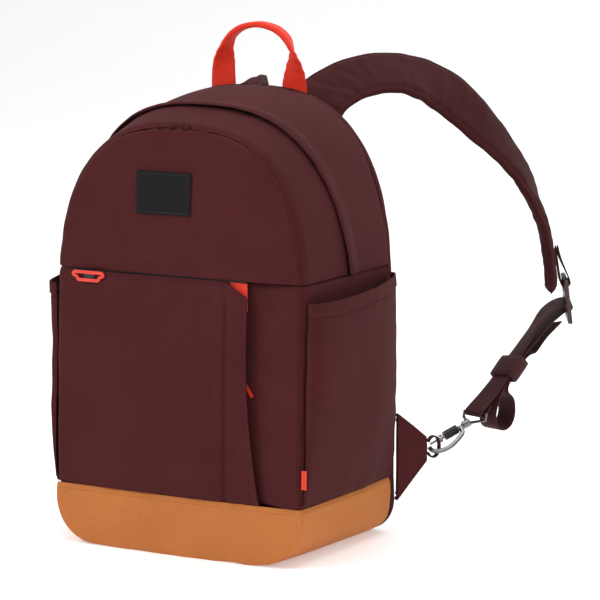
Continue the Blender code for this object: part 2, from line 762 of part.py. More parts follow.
HANDLE_Y = rear_seam_y(HANDLE_FOLD_Z - HANDLE_SEWN) + BACK_WALL + GAP + HANDLE_THICK / 2
# Half of the handle from its foot to the crown: x, height over the foot, width, thickness,
# and how far the flat has turned from facing forwards to facing up.
HANDLE_HALF = (
    (1.00, 0.0000, 0.0250, 0.0009, 0.0),
    (0.99, 0.0150, 0.0235, 0.0024, 0.0),
    (0.95, 0.0250, 0.0190, 0.0034, 0.45),
    (0.86, 0.0370, 0.0140, 0.0048, 0.90),
    (0.64, 0.0490, 0.0130, 0.0052, 1.0),
    (0.34, 0.0565, 0.0130, 0.0052, 1.0),
)


def make_handle():
    stations = []
    for share, rise, width, thick, turned in HANDLE_HALF:
        hint = (1.0 - turned, turned * 1.0001, 0.0)
        place_at = (-HANDLE_FOOT_X * share, HANDLE_Y, HANDLE_FOLD_Z + GAP + rise)
        stations.append((place_at, hint, width, thick))
    crown_at = ((0.0, HANDLE_Y, HANDLE_FOLD_Z + HANDLE_RISE), (0, 1, 0), 0.0130, 0.0052)
    mirrored = [((-x, y, z), (-hint[0], hint[1], 0.0), width, thick)
                for (x, y, z), hint, width, thick in reversed(stations)]
    handle = band("haul_handle", stations + [crown_at] + mirrored, ACCENT)
    place_origin(handle, (0.0, HANDLE_Y, HANDLE_FOLD_Z))
    for side, name in ((1, "right"), (-1, "left")):
        foot = box(f"handle_foot_{name}", (HANDLE_WIDTH, HANDLE_THICK, HANDLE_SEWN), ACCENT)
        foot.location = (side * HANDLE_FOOT_X, HANDLE_Y, HANDLE_FOLD_Z - GAP - HANDLE_SEWN / 2)


# Centre line of each shoulder strap pad from its seam at the top of the back panel to its free
# end: x (away from the middle), y, z, width, and the twist in degrees of the strap's flat.
RIGHT_PAD = (
    (0.046, 0.0796, 0.3460, 0.060, 63), (0.046, 0.0812, 0.3600, 0.060, 63),
    (0.048, 0.0930, 0.3760, 0.060, 54), (0.055, 0.1180, 0.3890, 0.060, 46),
    (0.068, 0.1420, 0.3970, 0.060, 42), (0.083, 0.1640, 0.3990, 0.060, 39),
    (0.097, 0.1820, 0.3950, 0.060, 39), (0.110, 0.2000, 0.3860, 0.060, 42),
    (0.124, 0.2160, 0.3730, 0.060, 42), (0.138, 0.2290, 0.3560, 0.058, 39),
    (0.151, 0.2440, 0.3370, 0.056, 32), (0.164, 0.2540, 0.3170, 0.054, 25),
    (0.175, 0.2600, 0.2980, 0.051, 19), (0.187, 0.2620, 0.2720, 0.048, 8),
    (0.197, 0.2600, 0.2450, 0.045, 3), (0.204, 0.2540, 0.2200, 0.043, 2),
    (0.208, 0.2490, 0.1960, 0.040, 2),
)
LEFT_PAD = (
    (0.046, 0.0796, 0.3460, 0.060, 63), (0.046, 0.0812, 0.3580, 0.060, 63),
    (0.047, 0.0930, 0.3710, 0.060, 54), (0.050, 0.1120, 0.3760, 0.060, 46),
    (0.056, 0.1400, 0.3740, 0.060, 42), (0.064, 0.1660, 0.3660, 0.060, 39),
    (0.074, 0.1880, 0.3500, 0.060, 37), (0.085, 0.2040, 0.3280, 0.060, 35),
    (0.097, 0.2140, 0.3020, 0.059, 33), (0.108, 0.2190, 0.2740, 0.057, 31),
    (0.118, 0.2190, 0.2460, 0.054, 29), (0.127, 0.2140, 0.2190, 0.050, 27),
    (0.135, 0.2060, 0.1930, 0.045, 25), (0.140, 0.1990, 0.1740, 0.041, 25),
)
OUTWARD = Vector((0.45, -0.88, 0.15))      # the way the straps' outer edges turn


def pad_stations(route, side):
    centres = [Vector((x, y, z)) for x, y, z, _, _ in route]
    stations = []
    for i, (_, _, _, width, twist) in enumerate(route):
        along = (centres[min(i + 1, len(route) - 1)] - centres[max(i - 1, 0)]).normalized()
        level = (OUTWARD - along * OUTWARD.dot(along)).normalized()
        down = along.cross(level)
        angle = math.radians(twist)
        hint = level * math.cos(angle) + down * math.sin(angle)
        mirror = Vector((side, 1, 1))
        stations.append((centres[i] * mirror, hint * mirror, width, STRAP_THICK))
    return stations


def make_straps():
    for side, name, route in ((1, "right", RIGHT_PAD), (-1, "left", LEFT_PAD)):
        band(f"strap_pad_{name}", pad_stations(route, side), SHELL, segments=2, soft=0.0028)


# ---------------------------------------------------------------- webbing, wings and buckles

WEB_FOOT = Vector((0.186, 0.174, 0.0))     # foot of the upright plane that the right webbing lies in
WEB_AWAY = Vector((0.300, 0.954, 0.0)).normalized()
WEB_ACROSS = Vector((0.954, -0.300, 0.0)).normalized()


def in_web_plane(away, z, offset=0.0):
    return WEB_FOOT + WEB_AWAY * away + Vector((0, 0, z)) + WEB_ACROSS * offset


def turn(centre, start, side, radius, sweep, count):
    """Points of a webbing's turn round a bar that lies along side."""
    points = []
    for angle in steps(0.0, math.radians(sweep), count):
        points.append(centre + Matrix.Rotation(angle, 3, side) @ (start.normalized() * radius))
    return points


def webbing(name, points, hints, thick=WEBBING_THICK, width=WEBBING):
    stations = [(point, hint, width, thick) for point, hint in zip(points, hints)]
    return band(name, stations, WEB)


def ladder_lock(name, low, high, side):
    """A ladder lock: a plate with an upper slot for its tab and a bar for the webbing."""
    along = (high - low).normalized()
    face = along.cross(side).normalized()
    plate = box(name, (BUCKLE_WIDTH, BUCKLE_THICK, BUCKLE_LENGTH), BUCKLE)
    edge = plate.modifiers.new("round", "BEVEL")
    edge.width = 0.0011
    edge.segments = 2
    middle = (low + high) / 2
    place(plate, middle, along, face)
    holes = []
    for label, centre, length in (("upper", BAR_OFFSET + 0.0180, BUCKLE_SLOT_UPPER),
                                  ("middle", BAR_OFFSET + BAR_HALF + BUCKLE_SLOT / 2, BUCKLE_SLOT),
                                  ("lower", BAR_OFFSET - BAR_HALF - BUCKLE_SLOT / 2, BUCKLE_SLOT)):
        hole = box(f"{name}_{label}", (WEBBING + 0.0026, 0.02, length), None, collection=CUTTERS)
        place(hole, middle + along * centre, along, face)
        holes.append(hole)
    combine(plate, holes, "DIFFERENCE")
    return middle, along, face


def over_bar(bar, along, side, toward):
    """The webbing's turn over a ladder lock's bar, from its inner face to its outer one."""
    over = turn(bar, -toward, side, BAR_TURN, 180, 7)
    if (over[3] - bar).dot(along) < 0:
        over = turn(bar, -toward, side, BAR_TURN, -180, 7)
    return over


def beside_plate(bar, along, way):
    """Where a strand leaves the plate's lower end."""
    return bar - along * 0.0165 + way * (BAR_TURN + 0.0004)


def buckle_tab(name, route, mirror, middle, along, side, toward):
    """Short webbing sewn to the pad's outer face and looped through the ladder lock's upper slot."""
    top = middle + along * TAB_BAR
    loop = turn(top, -toward, side, TAB_TURN, 180, 7)
    if (loop[3] - top).dot(along) > 0:
        loop = turn(top, -toward, side, TAB_TURN, -180, 7)
    stations = pad_stations(route, mirror)
    (low_at, hint, _, _), (high_at, _, _, _) = stations[-2], stations[-3]
    face = (high_at - low_at).cross(hint).normalized()
    face = face if face.dot(toward) > 0 else -face
    inner = [low_at.lerp(high_at, share) + face * (STRAP_THICK / 2 + 2 * GAP + WEBBING_THICK / 2)
             for share in (0.65, 0.30)]
    second = face * (WEBBING_THICK + 2 * GAP)
    outer = [point + second for point in reversed(inner)]
    hints = [hint] * 2 + [side] * len(loop) + [hint] * 2
    webbing(f"buckle_tab_{name}", inner + loop + outer, hints)


def make_right_webbing():
    """One webbing: hook ring, keeper, ladder lock, back through the keeper, spare loop, tip."""
    low, high = in_web_plane(*BUCKLE_LOW), in_web_plane(*BUCKLE_HIGH)
    along = (high - low).normalized()
    side = (OUTWARD - along * OUTWARD.dot(along)).normalized()
    middle, along, face = ladder_lock("ladder_lock_right", low, high, side)
    toward = face if face.dot(WEB_AWAY) > 0 else -face
    bar = middle + along * BAR_OFFSET
    # Both strands reach the lock from its inner side, so the turn goes round the bar's outer side.
    over = turn(bar, along, side, BAR_TURN, 180, 7)
    if (over[3] - bar).dot(toward) < 0:
        over = turn(bar, along, side, BAR_TURN, -180, 7)
    buckle_tab("right", RIGHT_PAD, 1, middle, along, side, toward)

    ring = RING_BAR
    up = (in_web_plane(0.0060, 0.1290) - ring).normalized()
    across = (WEB_ACROSS - up * WEB_ACROSS.dot(up)).normalized()
    lean = up.cross(across)
    lean = lean if lean.dot(WEB_AWAY) > 0 else -lean
    under = turn(ring, lean, across, RING_TURN, 180, 7)
    if (under[3] - ring).dot(up) > 0:
        under = turn(ring, lean, across, RING_TURN, -180, 7)

    key = [ring + lean * RING_TURN + up * 0.012]
    points = key + under
    hints = [across] * len(points)
    climb = smooth_route([under[-1], in_web_plane(-0.0120, 0.1130), at_keeper(-0.018, STRAND),
                          at_keeper(0.018, STRAND), in_web_plane(0.0460, 0.1625),
                          in_web_plane(0.0660, 0.1790), over[0] - toward * 0.0065, over[0]], 3)[1:-1]
    tail = [over[-1] - toward * 0.0065, in_web_plane(0.0720, 0.1715), in_web_plane(0.0500, 0.1575),
            at_keeper(0.018, 0.0),
            at_keeper(-0.018, 0.0), in_web_plane(-0.0040, 0.1110), in_web_plane(-0.0090, 0.0990),
            in_web_plane(-0.0075, 0.0870), in_web_plane(0.0015, 0.0820), in_web_plane(0.0115, 0.0850),
            in_web_plane(0.0165, 0.0950), in_web_plane(0.0150, 0.1090), at_keeper(-0.018, -STRAND),
            at_keeper(0.018, -STRAND), in_web_plane(0.0480, 0.1480), in_web_plane(0.0640, 0.1590),
            in_web_plane(0.0820, 0.1690)]
    fall = smooth_route([over[-1]] + tail, 3)[1:]
    points += climb + over + fall

    def hint_of(point):
        share = min(1.0, max(0.0, (0.168 - point.z) / 0.060))
        return side * (1 - share) + WEB_ACROSS * share

    for point in climb:
        hints.append(hint_of(point))
    hints += [side] * len(over)
    hints += [hint_of(point) for point in fall]
    webbing("strap_webbing_right", points, hints)

    centre = at_keeper(0.0, 0.0)
    path = (at_keeper(0.01, 0.0) - centre).normalized()
    hint = hint_of(centre)
    across = (hint - path * hint.dot(path)).normalized()
    face = path.cross(across)
    sleeve = box("webbing_keeper_right", (WEBBING + 0.0080, KEEPER_DEPTH + 0.0032, KEEPER_LENGTH), SHELL)
    hollow = box("webbing_keeper_hollow", (WEBBING + 0.0048, KEEPER_DEPTH, 0.06), None,
                 collection=CUTTERS)
    for piece in (sleeve, hollow):
        place(piece, centre, path, face)
    combine(sleeve, (hollow,), "DIFFERENCE")


def at_keeper(ahead, offset):
    """A point of the straight stretch inside the keeper: ahead along it, and offset across the stack."""
    slope = math.radians(KEEPER_SLOPE)
    away = KEEPER_AT[0] + ahead * math.cos(slope) - offset * math.sin(slope)
    return in_web_plane(away, KEEPER_AT[1] + ahead * math.sin(slope) + offset * math.cos(slope))


RING_BAR = WEB_FOOT + WEB_AWAY * -0.0260 + Vector((0, 0, 0.1005))


# ---------------------------------------------------------------- wings and hook

WING_ROOT = Vector((0.1336, 0.0835, 0.0))
WING_TIP = Vector((0.1520, 0.1150, 0.0))   # foot of the wing's tip: the loop starts there
WING_AWAY = (WING_TIP - WING_ROOT).normalized()
WING_ACROSS = Vector((WING_AWAY.y, -WING_AWAY.x, 0.0))


def in_wing_plane(away, z, side=1):
    """A point in the upright plane of the wing: away from its tip, and height."""
    point = WING_TIP + WING_AWAY * away + Vector((0, 0, z))
    return Vector((side * point.x, point.y, point.z))


def make_wings():
    root = -(WING_TIP - WING_ROOT).length - 0.00105
    for side, name in ((1, "right"), (-1, "left")):
        face = Vector((side * WING_ACROSS.x, WING_ACROSS.y, 0))
        rows = [[in_wing_plane(away, z, side) + face * WING_THICK / 2 for z in steps(low, high, 2)]
                for away, low, high in ((root, 0.0290, 0.1080), (root / 2, 0.0450, 0.0960),
                                        (-0.0062, 0.0610, 0.0835))]
        surface(f"wing_{name}", rows, WING_THICK, SHELL, face)
    # Narrow webbing loop sewn to the tip of the right wing; the hook's bow passes through it.
    points, hints = [], []
    for angle in steps(-152.0, 152.0, 13):
        turned = math.radians(angle)
        points.append(in_wing_plane(0.0010 + 0.0066 * math.cos(turned), 0.0735 + 0.0098 * math.sin(turned)))
        hints.append(WING_ACROSS)
    webbing("wing_loop_right", points, hints, width=LOOP_WIDTH)


def make_left_webbing():
    """The left webbing is sewn to its wing and ends in a hanging tail."""
    stations = pad_stations(LEFT_PAD, -1)
    pad_end, side = stations[-1][0], stations[-1][1]
    along = (stations[-3][0] - pad_end).normalized()
    side = (side - along * side.dot(along)).normalized()
    outer = along.cross(side).normalized()
    outer = outer if outer.y > 0 else -outer
    high = pad_end + outer * LEFT_LOCK_OUT + along * 0.010
    middle, along, _ = ladder_lock("ladder_lock_left", high - along * BUCKLE_LENGTH, high, side)
    bar = middle + along * BAR_OFFSET
    over = over_bar(bar, along, side, outer)
    buckle_tab("left", LEFT_PAD, -1, middle, along, side, outer)
    wing = in_wing_plane(-0.0053, 0.0722, -1)
    rise = smooth_route([wing, wing + Vector((-0.004, 0.014, 0.010)), bar + Vector((0.0, -0.020, -0.046)),
                         beside_plate(bar, along, -outer), over[0]], 4)[:-1]
    tail = smooth_route([over[-1], beside_plate(bar, along, outer), bar + outer * 0.0080 - along * 0.034,
                         bar + outer * 0.0100 - along * 0.058, bar + outer * 0.0090 - along * 0.082], 3)[1:]
    hints = [Vector((-WING_ACROSS.x, WING_ACROSS.y, 0))] * 2
    hints += [side] * (len(rise) - 2 + len(over) + len(tail))
    webbing("strap_webbing_left", rise + over + tail, hints)


def tube(name, points, radius, slot, closed=False, collection=PARTS):
    """A round wire through the points, as a mesh."""
    curve = bpy.data.curves.new(name, "CURVE")
    curve.dimensions = "3D"
    curve.bevel_depth = radius
    curve.bevel_resolution = 2
    curve.use_fill_caps = not closed
    line = curve.splines.new("POLY")
    line.points.add(len(points) - 1)
    for spot, point in zip(line.points, points):
        spot.co = (*point, 1.0)
    line.use_cyclic_u = closed
    drawn = bpy.data.objects.new(name, curve)
    PARTS.objects.link(drawn)
    graph = bpy.context.evaluated_depsgraph_get()
    mesh = bpy.data.meshes.new_from_object(drawn.evaluated_get(graph))
    bpy.data.objects.remove(drawn)
    bpy.data.curves.remove(curve)
    shape = bmesh.new()
    shape.from_mesh(mesh)
    bmesh.ops.remove_doubles(shape, verts=shape.verts[:], dist=1e-6)
    shape.to_mesh(mesh)
    shape.free()
    mesh.name = name
    return new_object(name, mesh, slot, collection)


def rod(name, start, end, radius, slot, collection=PARTS, sides=12):
    shape = bmesh.new()
    bmesh.ops.create_cone(shape, cap_ends=True, segments=sides, radius1=radius, radius2=radius,
                          depth=(end - start).length)
    mesh = bpy.data.meshes.new(name)
    shape.to_mesh(mesh)
    shape.free()
    made = new_object(name, mesh, slot, collection)
    made.matrix_world = (Matrix.Translation((start + end) / 2)
                         @ (end - start).to_track_quat("Z", "Y").to_matrix().to_4x4())
    return made


HEADING = Vector((0.640, 0.768, 0.0)).normalized()
HEADING_SIDE = Vector((HEADING.y, -HEADING.x, 0.0))
SHANK_ALONG = HEADING * math.cos(SHANK_SLOPE) + Vector((0, 0, math.sin(SHANK_SLOPE)))
SHANK_UPRIGHT = Vector((0, 0, math.cos(SHANK_SLOPE))) - HEADING * math.sin(SHANK_SLOPE)
LIFT = SHANK_UPRIGHT * math.cos(SHANK_ROLL) - HEADING_SIDE * math.sin(SHANK_ROLL)
PIN_LINE = SHANK_ALONG.cross(LIFT).normalized()
SHANK_START = in_wing_plane(0.0076, 0.0735) + SHANK_ALONG * 0.0060 + LIFT * 0.0062


def on_shank(ahead, lift=0.0):
    return SHANK_START + SHANK_ALONG * ahead + LIFT * lift


def make_hook():
    """Snap hook: bow and shank, gate on its pin, turning lock sleeve, and swivel ring."""
    bow_route = [on_shank(0.0200), on_shank(0.0200, -0.0035), on_shank(0.0186, -0.0068),
                 on_shank(0.0140, -0.0092), on_shank(0.0060, -0.0121), on_shank(-0.0020, -0.0130),
                 on_shank(-0.0095, -0.0112), on_shank(-0.0138, -0.0070), on_shank(-0.0142, -0.0030)]
    body = rod("hook_body", on_shank(0.0), on_shank(NECK_TO), SHANK_R, STEEL)
    bow = tube("hook_bow", smooth_route(bow_route, 3), BOW_R, None, collection=CUTTERS)
    knuckle = rod("hook_knuckle", on_shank(-0.0004) - PIN_LINE * KNUCKLE_HALF,
                  on_shank(-0.0004) + PIN_LINE * KNUCKLE_HALF, 0.0024, None, CUTTERS)
    seat = rod("hook_gate_seat", on_shank(-0.0004) - PIN_LINE * (GATE_HALF + GAP),
               on_shank(-0.0004) + PIN_LINE * (GATE_HALF + GAP), 0.0034, None, CUTTERS)
    bore = rod("hook_pin_bore", on_shank(-0.0004) - PIN_LINE * 0.006,
               on_shank(-0.0004) + PIN_LINE * 0.006, PIN_R + RUNNING, None, CUTTERS, 16)
    combine(body, (bow, knuckle))
    combine(body, (seat, bore), "DIFFERENCE")

    gate = rod("hook_gate", on_shank(-0.0022), on_shank(GATE_TIP), 0.0011, DARK_STEEL)
    hub = rod("hook_gate_hub", on_shank(-0.0004) - PIN_LINE * GATE_HALF,
              on_shank(-0.0004) + PIN_LINE * GATE_HALF, 0.0021, None, CUTTERS)
    combine(gate, (hub,))
    gate_bore = rod("hook_gate_bore", on_shank(-0.0004) - PIN_LINE * 0.006,
                    on_shank(-0.0004) + PIN_LINE * 0.006, PIN_R + RUNNING, None, CUTTERS, 16)
    combine(gate, (gate_bore,), "DIFFERENCE")
    place_origin(gate, on_shank(-0.0004))
    rod("hook_gate_pin", on_shank(-0.0004) - PIN_LINE * KNUCKLE_HALF,
        on_shank(-0.0004) + PIN_LINE * KNUCKLE_HALF, PIN_R, DARK_STEEL, sides=16)

    sleeve = rod("hook_lock_sleeve", on_shank(BARREL_FROM), on_shank(BARREL_TO), BARREL_R, DARK_STEEL,
                 sides=16)
    sleeve_bore = rod("hook_sleeve_bore", on_shank(BARREL_FROM - 0.01), on_shank(BARREL_TO + 0.01),
                      SHANK_R + RUNNING, None, CUTTERS, 16)
    combine(sleeve, (sleeve_bore,), "DIFFERENCE")

    neck = on_shank(NECK_TO)
    reach = RING_BAR - neck
    reach -= WEB_ACROSS * reach.dot(WEB_ACROSS)
    shoulder = RING_BAR - reach.normalized() * 0.0052
    half = WEB_ACROSS * (RING_INNER / 2 + RING_WIRE)
    foot = WEB_ACROSS * 0.0022
    neck += SHANK_ALONG * 0.0002
    route = [RING_BAR - half, RING_BAR + half, shoulder + half, neck + foot, neck - foot, shoulder - half]
    ring = tube("hook_swivel_ring", route, RING_WIRE, STEEL, closed=True)
    collar = rod("hook_swivel_collar", on_shank(NECK_TO - 0.0060), on_shank(NECK_TO + 0.0012), 0.0036, None,
                 CUTTERS, 16)
    combine(ring, (collar,))
    collar_bore = rod("hook_collar_bore", on_shank(NECK_TO - 0.02), on_shank(NECK_TO + GAP),
                      SHANK_R + RUNNING, None, CUTTERS, 16)
    combine(ring, (collar_bore,), "DIFFERENCE")


def make_corner_tab():
    """Small folded flag sewn into the right front corner seam."""
    rows = [[(half_at(0.0, z) + x, front_seam_y(z) + WALL / 2, z) for x in (0.0008, 0.0052)]
            for z in (0.0700, 0.0860)]
    surface("corner_tab", rows, 0.0010, ACCENT, (0, -1, 0))


make_boot()
make_back()
make_sides()
make_flap()
SLIT = make_front_pocket()
make_slash_pocket()
make_main_zip_sliders()
make_front_zip_slider(*SLIT)
make_slash_slider()
make_handle()
make_straps()
make_right_webbing()
make_left_webbing()
make_wings()
make_hook()
make_corner_tab()
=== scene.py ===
"""Travel daypack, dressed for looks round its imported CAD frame."""

import math

import bmesh
import bpy
import numpy as np
from mathutils import Matrix, Vector, noise


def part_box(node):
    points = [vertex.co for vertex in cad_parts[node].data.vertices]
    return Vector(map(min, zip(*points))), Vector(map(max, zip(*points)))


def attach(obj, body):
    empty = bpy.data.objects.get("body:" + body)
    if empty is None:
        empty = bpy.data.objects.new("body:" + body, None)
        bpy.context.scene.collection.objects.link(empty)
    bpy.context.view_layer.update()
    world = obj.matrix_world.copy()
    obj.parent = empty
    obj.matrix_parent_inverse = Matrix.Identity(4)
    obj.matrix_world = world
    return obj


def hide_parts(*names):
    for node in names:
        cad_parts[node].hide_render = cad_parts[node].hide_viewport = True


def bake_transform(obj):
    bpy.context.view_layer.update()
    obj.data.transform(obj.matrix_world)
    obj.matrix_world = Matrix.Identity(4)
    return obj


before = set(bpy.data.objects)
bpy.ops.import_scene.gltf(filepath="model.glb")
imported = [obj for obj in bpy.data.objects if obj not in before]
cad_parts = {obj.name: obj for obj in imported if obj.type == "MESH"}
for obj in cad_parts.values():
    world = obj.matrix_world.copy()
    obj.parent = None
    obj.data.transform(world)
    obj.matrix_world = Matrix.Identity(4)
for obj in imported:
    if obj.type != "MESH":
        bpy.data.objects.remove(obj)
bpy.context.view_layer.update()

# ------------------------------------------------------------ tan boot
# The boot is one cut of coarse tan polyester for the front and one for sides and base. It is sewn to the
# burgundy cloth along a straight seam and turned over a thin stiffener, so it puckers a little at the seams.

WALL, GAP = 0.0024, 0.0003
TAN_TOP, FOLD_Z, SPRING, POWER = 0.052, 0.2415, 0.215, 2.6


def front_seam_y(z):
    """Depth of the front seam, which leans back as it rises."""
    return -0.080 + 0.033 * z


def rear_seam_y(z):
    """Depth of the rear seam, which leans forward as it rises."""
    return 0.080 - 0.036 * z


def half_width(depth):
    """Half width of the body, from 0 at the front seam to 1 at the rear seam."""
    return 0.1205 + 0.010 * depth + 0.008 * depth * (1 - depth)


def top_height(depth):
    """Height of the arch, from 0 at the front seam to 1 at the rear seam."""
    return 0.369 + 0.024 * depth + 0.024 * depth * (1 - depth)


def corner_radius(depth):
    """Radius of the lower corners, from the front seam to the rear seam."""
    return 0.042 - 0.012 * depth


def half_at(depth, z):
    """Half width of the body's outline at a height."""
    half, top, corner = half_width(depth), top_height(depth), corner_radius(depth)
    if z < corner:
        return half - corner + math.sqrt(max(0.0, corner ** 2 - (corner - z) ** 2))
    if z > SPRING:
        share = min(1.0, (z - SPRING) / (top - SPRING))
        return half * (1 - share ** POWER) ** (1 / POWER)
    return half


def depth_of(y, z):
    """How far back a point lies, from 0 at the front seam to 1 at the rear seam."""
    return (y - front_seam_y(z)) / (rear_seam_y(z) - front_seam_y(z))


def front_y(x, z):
    """Depth of the slightly domed front."""
    half = max(half_at(0.0, z), 0.02)
    across = max(0.0, 1 - (x / half) ** 2)
    up = max(0.0, 1 - ((z - 0.19) / 0.19) ** 2)
    return front_seam_y(z) - 0.0045 * across * (0.25 + 0.75 * up)


def after_front(z):
    return front_seam_y(z) + WALL + GAP


def before_rear(z):
    return rear_seam_y(z) - GAP


def wired(nodes, kind, settings=(), **links):
    """A shader node with its inputs set; links give the outputs that feed inputs by name."""
    made = nodes.new(kind)
    for name, value in settings:
        made.inputs[name].default_value = value
    for name, source in links.items():
        nodes.id_data.links.new(source, made.inputs[name.replace("_", " ")])
    return made


def cloth_material(name, colour, weave=1500.0, fleck=0.22, roughness=0.82, sheen=0.30, bump=0.35,
                   by_uv=True, shade=0.10, specular=0.25):
    """Woven cloth: warp and weft slubs in colour and relief over a slow uneven shade."""
    made = bpy.data.materials.new(name)
    made.use_nodes = True
    nodes, links = made.node_tree.nodes, made.node_tree.links
    shader = nodes["Principled BSDF"]
    place = nodes.new("ShaderNodeTexCoord")
    where = place.outputs["UV"] if by_uv else place.outputs["Object"]
    threads = []
    for stretch in ((0.16, 1.0, 1.0), (1.0, 0.16, 1.0)):
        turned = nodes.new("ShaderNodeMapping")
        turned.inputs["Scale"].default_value = stretch
        links.new(where, turned.inputs["Vector"])
        grain = wired(nodes, "ShaderNodeTexNoise", (("Scale", weave), ("Detail", 2.0), ("Roughness", 0.6)),
                      Vector=turned.outputs["Vector"])
        threads.append(grain.outputs["Fac"])
    weft = nodes.new("ShaderNodeMath")
    weft.operation = "MAXIMUM"
    links.new(threads[0], weft.inputs[0])
    links.new(threads[1], weft.inputs[1])
    slow = wired(nodes, "ShaderNodeTexNoise", (("Scale", 22.0), ("Detail", 3.0)), Vector=place.outputs["Object"])
    ramp = nodes.new("ShaderNodeValToRGB")
    ramp.color_ramp.elements[0].position, ramp.color_ramp.elements[1].position = 0.40, 0.72
    ramp.color_ramp.elements[0].color = (*[c * (1 - fleck) for c in colour], 1)
    ramp.color_ramp.elements[1].color = (*[min(1, c * (1 + fleck)) for c in colour], 1)
    links.new(weft.outputs[0], ramp.inputs["Fac"])
    tone = nodes.new("ShaderNodeMapRange")
    tone.inputs["From Min"].default_value, tone.inputs["From Max"].default_value = 0.3, 0.7
    tone.inputs["To Min"].default_value, tone.inputs["To Max"].default_value = 1 - shade, 1 + shade
    links.new(slow.outputs["Fac"], tone.inputs["Value"])
    shaded = nodes.new("ShaderNodeVectorMath")
    shaded.operation = "SCALE"
    links.new(ramp.outputs["Color"], shaded.inputs[0])
    links.new(tone.outputs["Result"], shaded.inputs["Scale"])
    links.new(shaded.outputs["Vector"], shader.inputs["Base Color"])
    rough = nodes.new("ShaderNodeMapRange")
    rough.inputs["To Min"].default_value = roughness - 0.06
    rough.inputs["To Max"].default_value = roughness + 0.08
    links.new(weft.outputs[0], rough.inputs["Value"])
    links.new(rough.outputs["Result"], shader.inputs["Roughness"])
    relief = wired(nodes, "ShaderNodeBump", (("Strength", bump), ("Distance", 0.0003)), Height=weft.outputs[0])
    links.new(relief.outputs["Normal"], shader.inputs["Normal"])
    shader.inputs["Sheen Weight"].default_value = sheen
    shader.inputs["Sheen Roughness"].default_value = 0.45
    shader.inputs["Specular IOR Level"].default_value = specular
    return made


def normals_of(points):
    """Unit normals of a grid of points."""
    along = np.gradient(points, axis=1)
    up = np.gradient(points, axis=0)
    normal = np.cross(along, up)
    return normal / np.maximum(np.linalg.norm(normal, axis=2, keepdims=True), 1e-12)


def lengths(points, axis):
    step = np.linalg.norm(np.diff(points, axis=axis), axis=2)
    total = np.cumsum(step, axis=axis)
    pad = [(0, 0), (0, 0)]
    pad[axis] = (1, 0)
    return np.pad(total, pad)


def field(points, scale, seed):
    """Smooth noise from -1 to 1 at each point of a grid."""
    flat = points.reshape(-1, 3) * np.asarray(scale) + seed
    return np.array([noise.noise(p) for p in flat]).reshape(points.shape[:2])


def folds(along, away, reach, wave, seed):
    """Gathers that run away from a seam: sharp beside it and gone within its reach."""
    spots = np.stack([along / wave, away / (reach * 4), np.full_like(along, seed)], axis=2)
    return np.exp(-away / reach) * field(spots, 1.0, 0.0)


class Cloth:
    """A grid of points on a sewn panel with its normals and its distances from the four edges."""

    def __init__(self, point, across, up, outward):
        u, v = np.linspace(0, 1, across), np.linspace(0, 1, up)
        self.points = np.array([[point(a, b) for a in u] for b in v], float)
        normal = normals_of(self.points)
        facing = np.array(outward(self.points)) if callable(outward) else np.array(outward, float)
        self.flip = float((normal * facing).sum()) < 0
        self.normal = -normal if self.flip else normal
        self.s, self.t = lengths(self.points, 1), lengths(self.points, 0)
        self.left, self.right = self.s, self.s[:, -1:] - self.s
        self.low, self.top = self.t, self.t[-1:, :] - self.t
        self.uv = np.stack([self.s, self.t], axis=2)
        self.rise = np.zeros(self.points.shape[:2])

    def seam(self, away, depth=0.0012, width=0.0026):
        """Cloth dives into the seam at an edge."""
        self.rise -= depth * np.exp(-(away / width) ** 2)

    def gather(self, along, away, size, reach=0.012, wave=0.009, seed=0.0):
        self.rise += size * folds(along, away, reach, wave, seed)

    def sag(self, size, scale, seed):
        self.rise += size * field(self.points, scale, seed)

    def settled(self):
        return self.points + self.normal * self.rise[..., None]

    def at(self, u, v, lift=0.0):
        """Points and normals along a path given in shares of the grid."""
        grid = self.settled()
        rows, cols = grid.shape[:2]
        found = []
        for a, b in zip(u, v):
            i, j = min(b * (rows - 1), rows - 1.001), min(a * (cols - 1), cols - 1.001)
            i0, j0, fi, fj = int(i), int(j), i - int(i), j - int(j)
            mixed = [((1 - fi) * (1 - fj) * g[i0, j0] + (1 - fi) * fj * g[i0, j0 + 1]
                      + fi * (1 - fj) * g[i0 + 1, j0] + fi * fj * g[i0 + 1, j0 + 1])
                     for g in (grid, self.normal)]
            found.append((Vector(mixed[0] + mixed[1] * lift), Vector(mixed[1]).normalized()))
        return found


def sewn(name, cloth, material, body, nodes=(), thickness=WALL, edge=0.0005):
    """The panel as a mesh with cloth thickness, riding on its body in place of its CAD nodes."""
    points = cloth.settled()
    rows, cols = points.shape[:2]
    index = np.arange(rows * cols).reshape(rows, cols)
    quads = np.stack([index[:-1, :-1], index[:-1, 1:], index[1:, 1:], index[1:, :-1]], axis=2).reshape(-1, 4)
    if cloth.flip:
        quads = quads[:, ::-1]
    mesh = bpy.data.meshes.new(name)
    mesh.from_pydata(points.reshape(-1, 3).tolist(), [], quads.tolist())
    layer = mesh.uv_layers.new(name="cut")
    layer.data.foreach_set("uv", cloth.uv.reshape(-1, 2)[quads.reshape(-1)].ravel())
    mesh.polygons.foreach_set("use_smooth", [True] * len(mesh.polygons))
    mesh.materials.append(material)
    made = bpy.data.objects.new(name, mesh)
    bpy.context.scene.collection.objects.link(made)
    solid = made.modifiers.new("cloth", "SOLIDIFY")
    solid.thickness, solid.offset = thickness, -1.0
    if edge:
        soft = made.modifiers.new("edge", "BEVEL")
        soft.width, soft.segments, soft.limit_method, soft.angle_limit = edge, 2, "ANGLE", math.radians(50)
    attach(made, body)
    if nodes:
        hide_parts(*nodes)
    return made


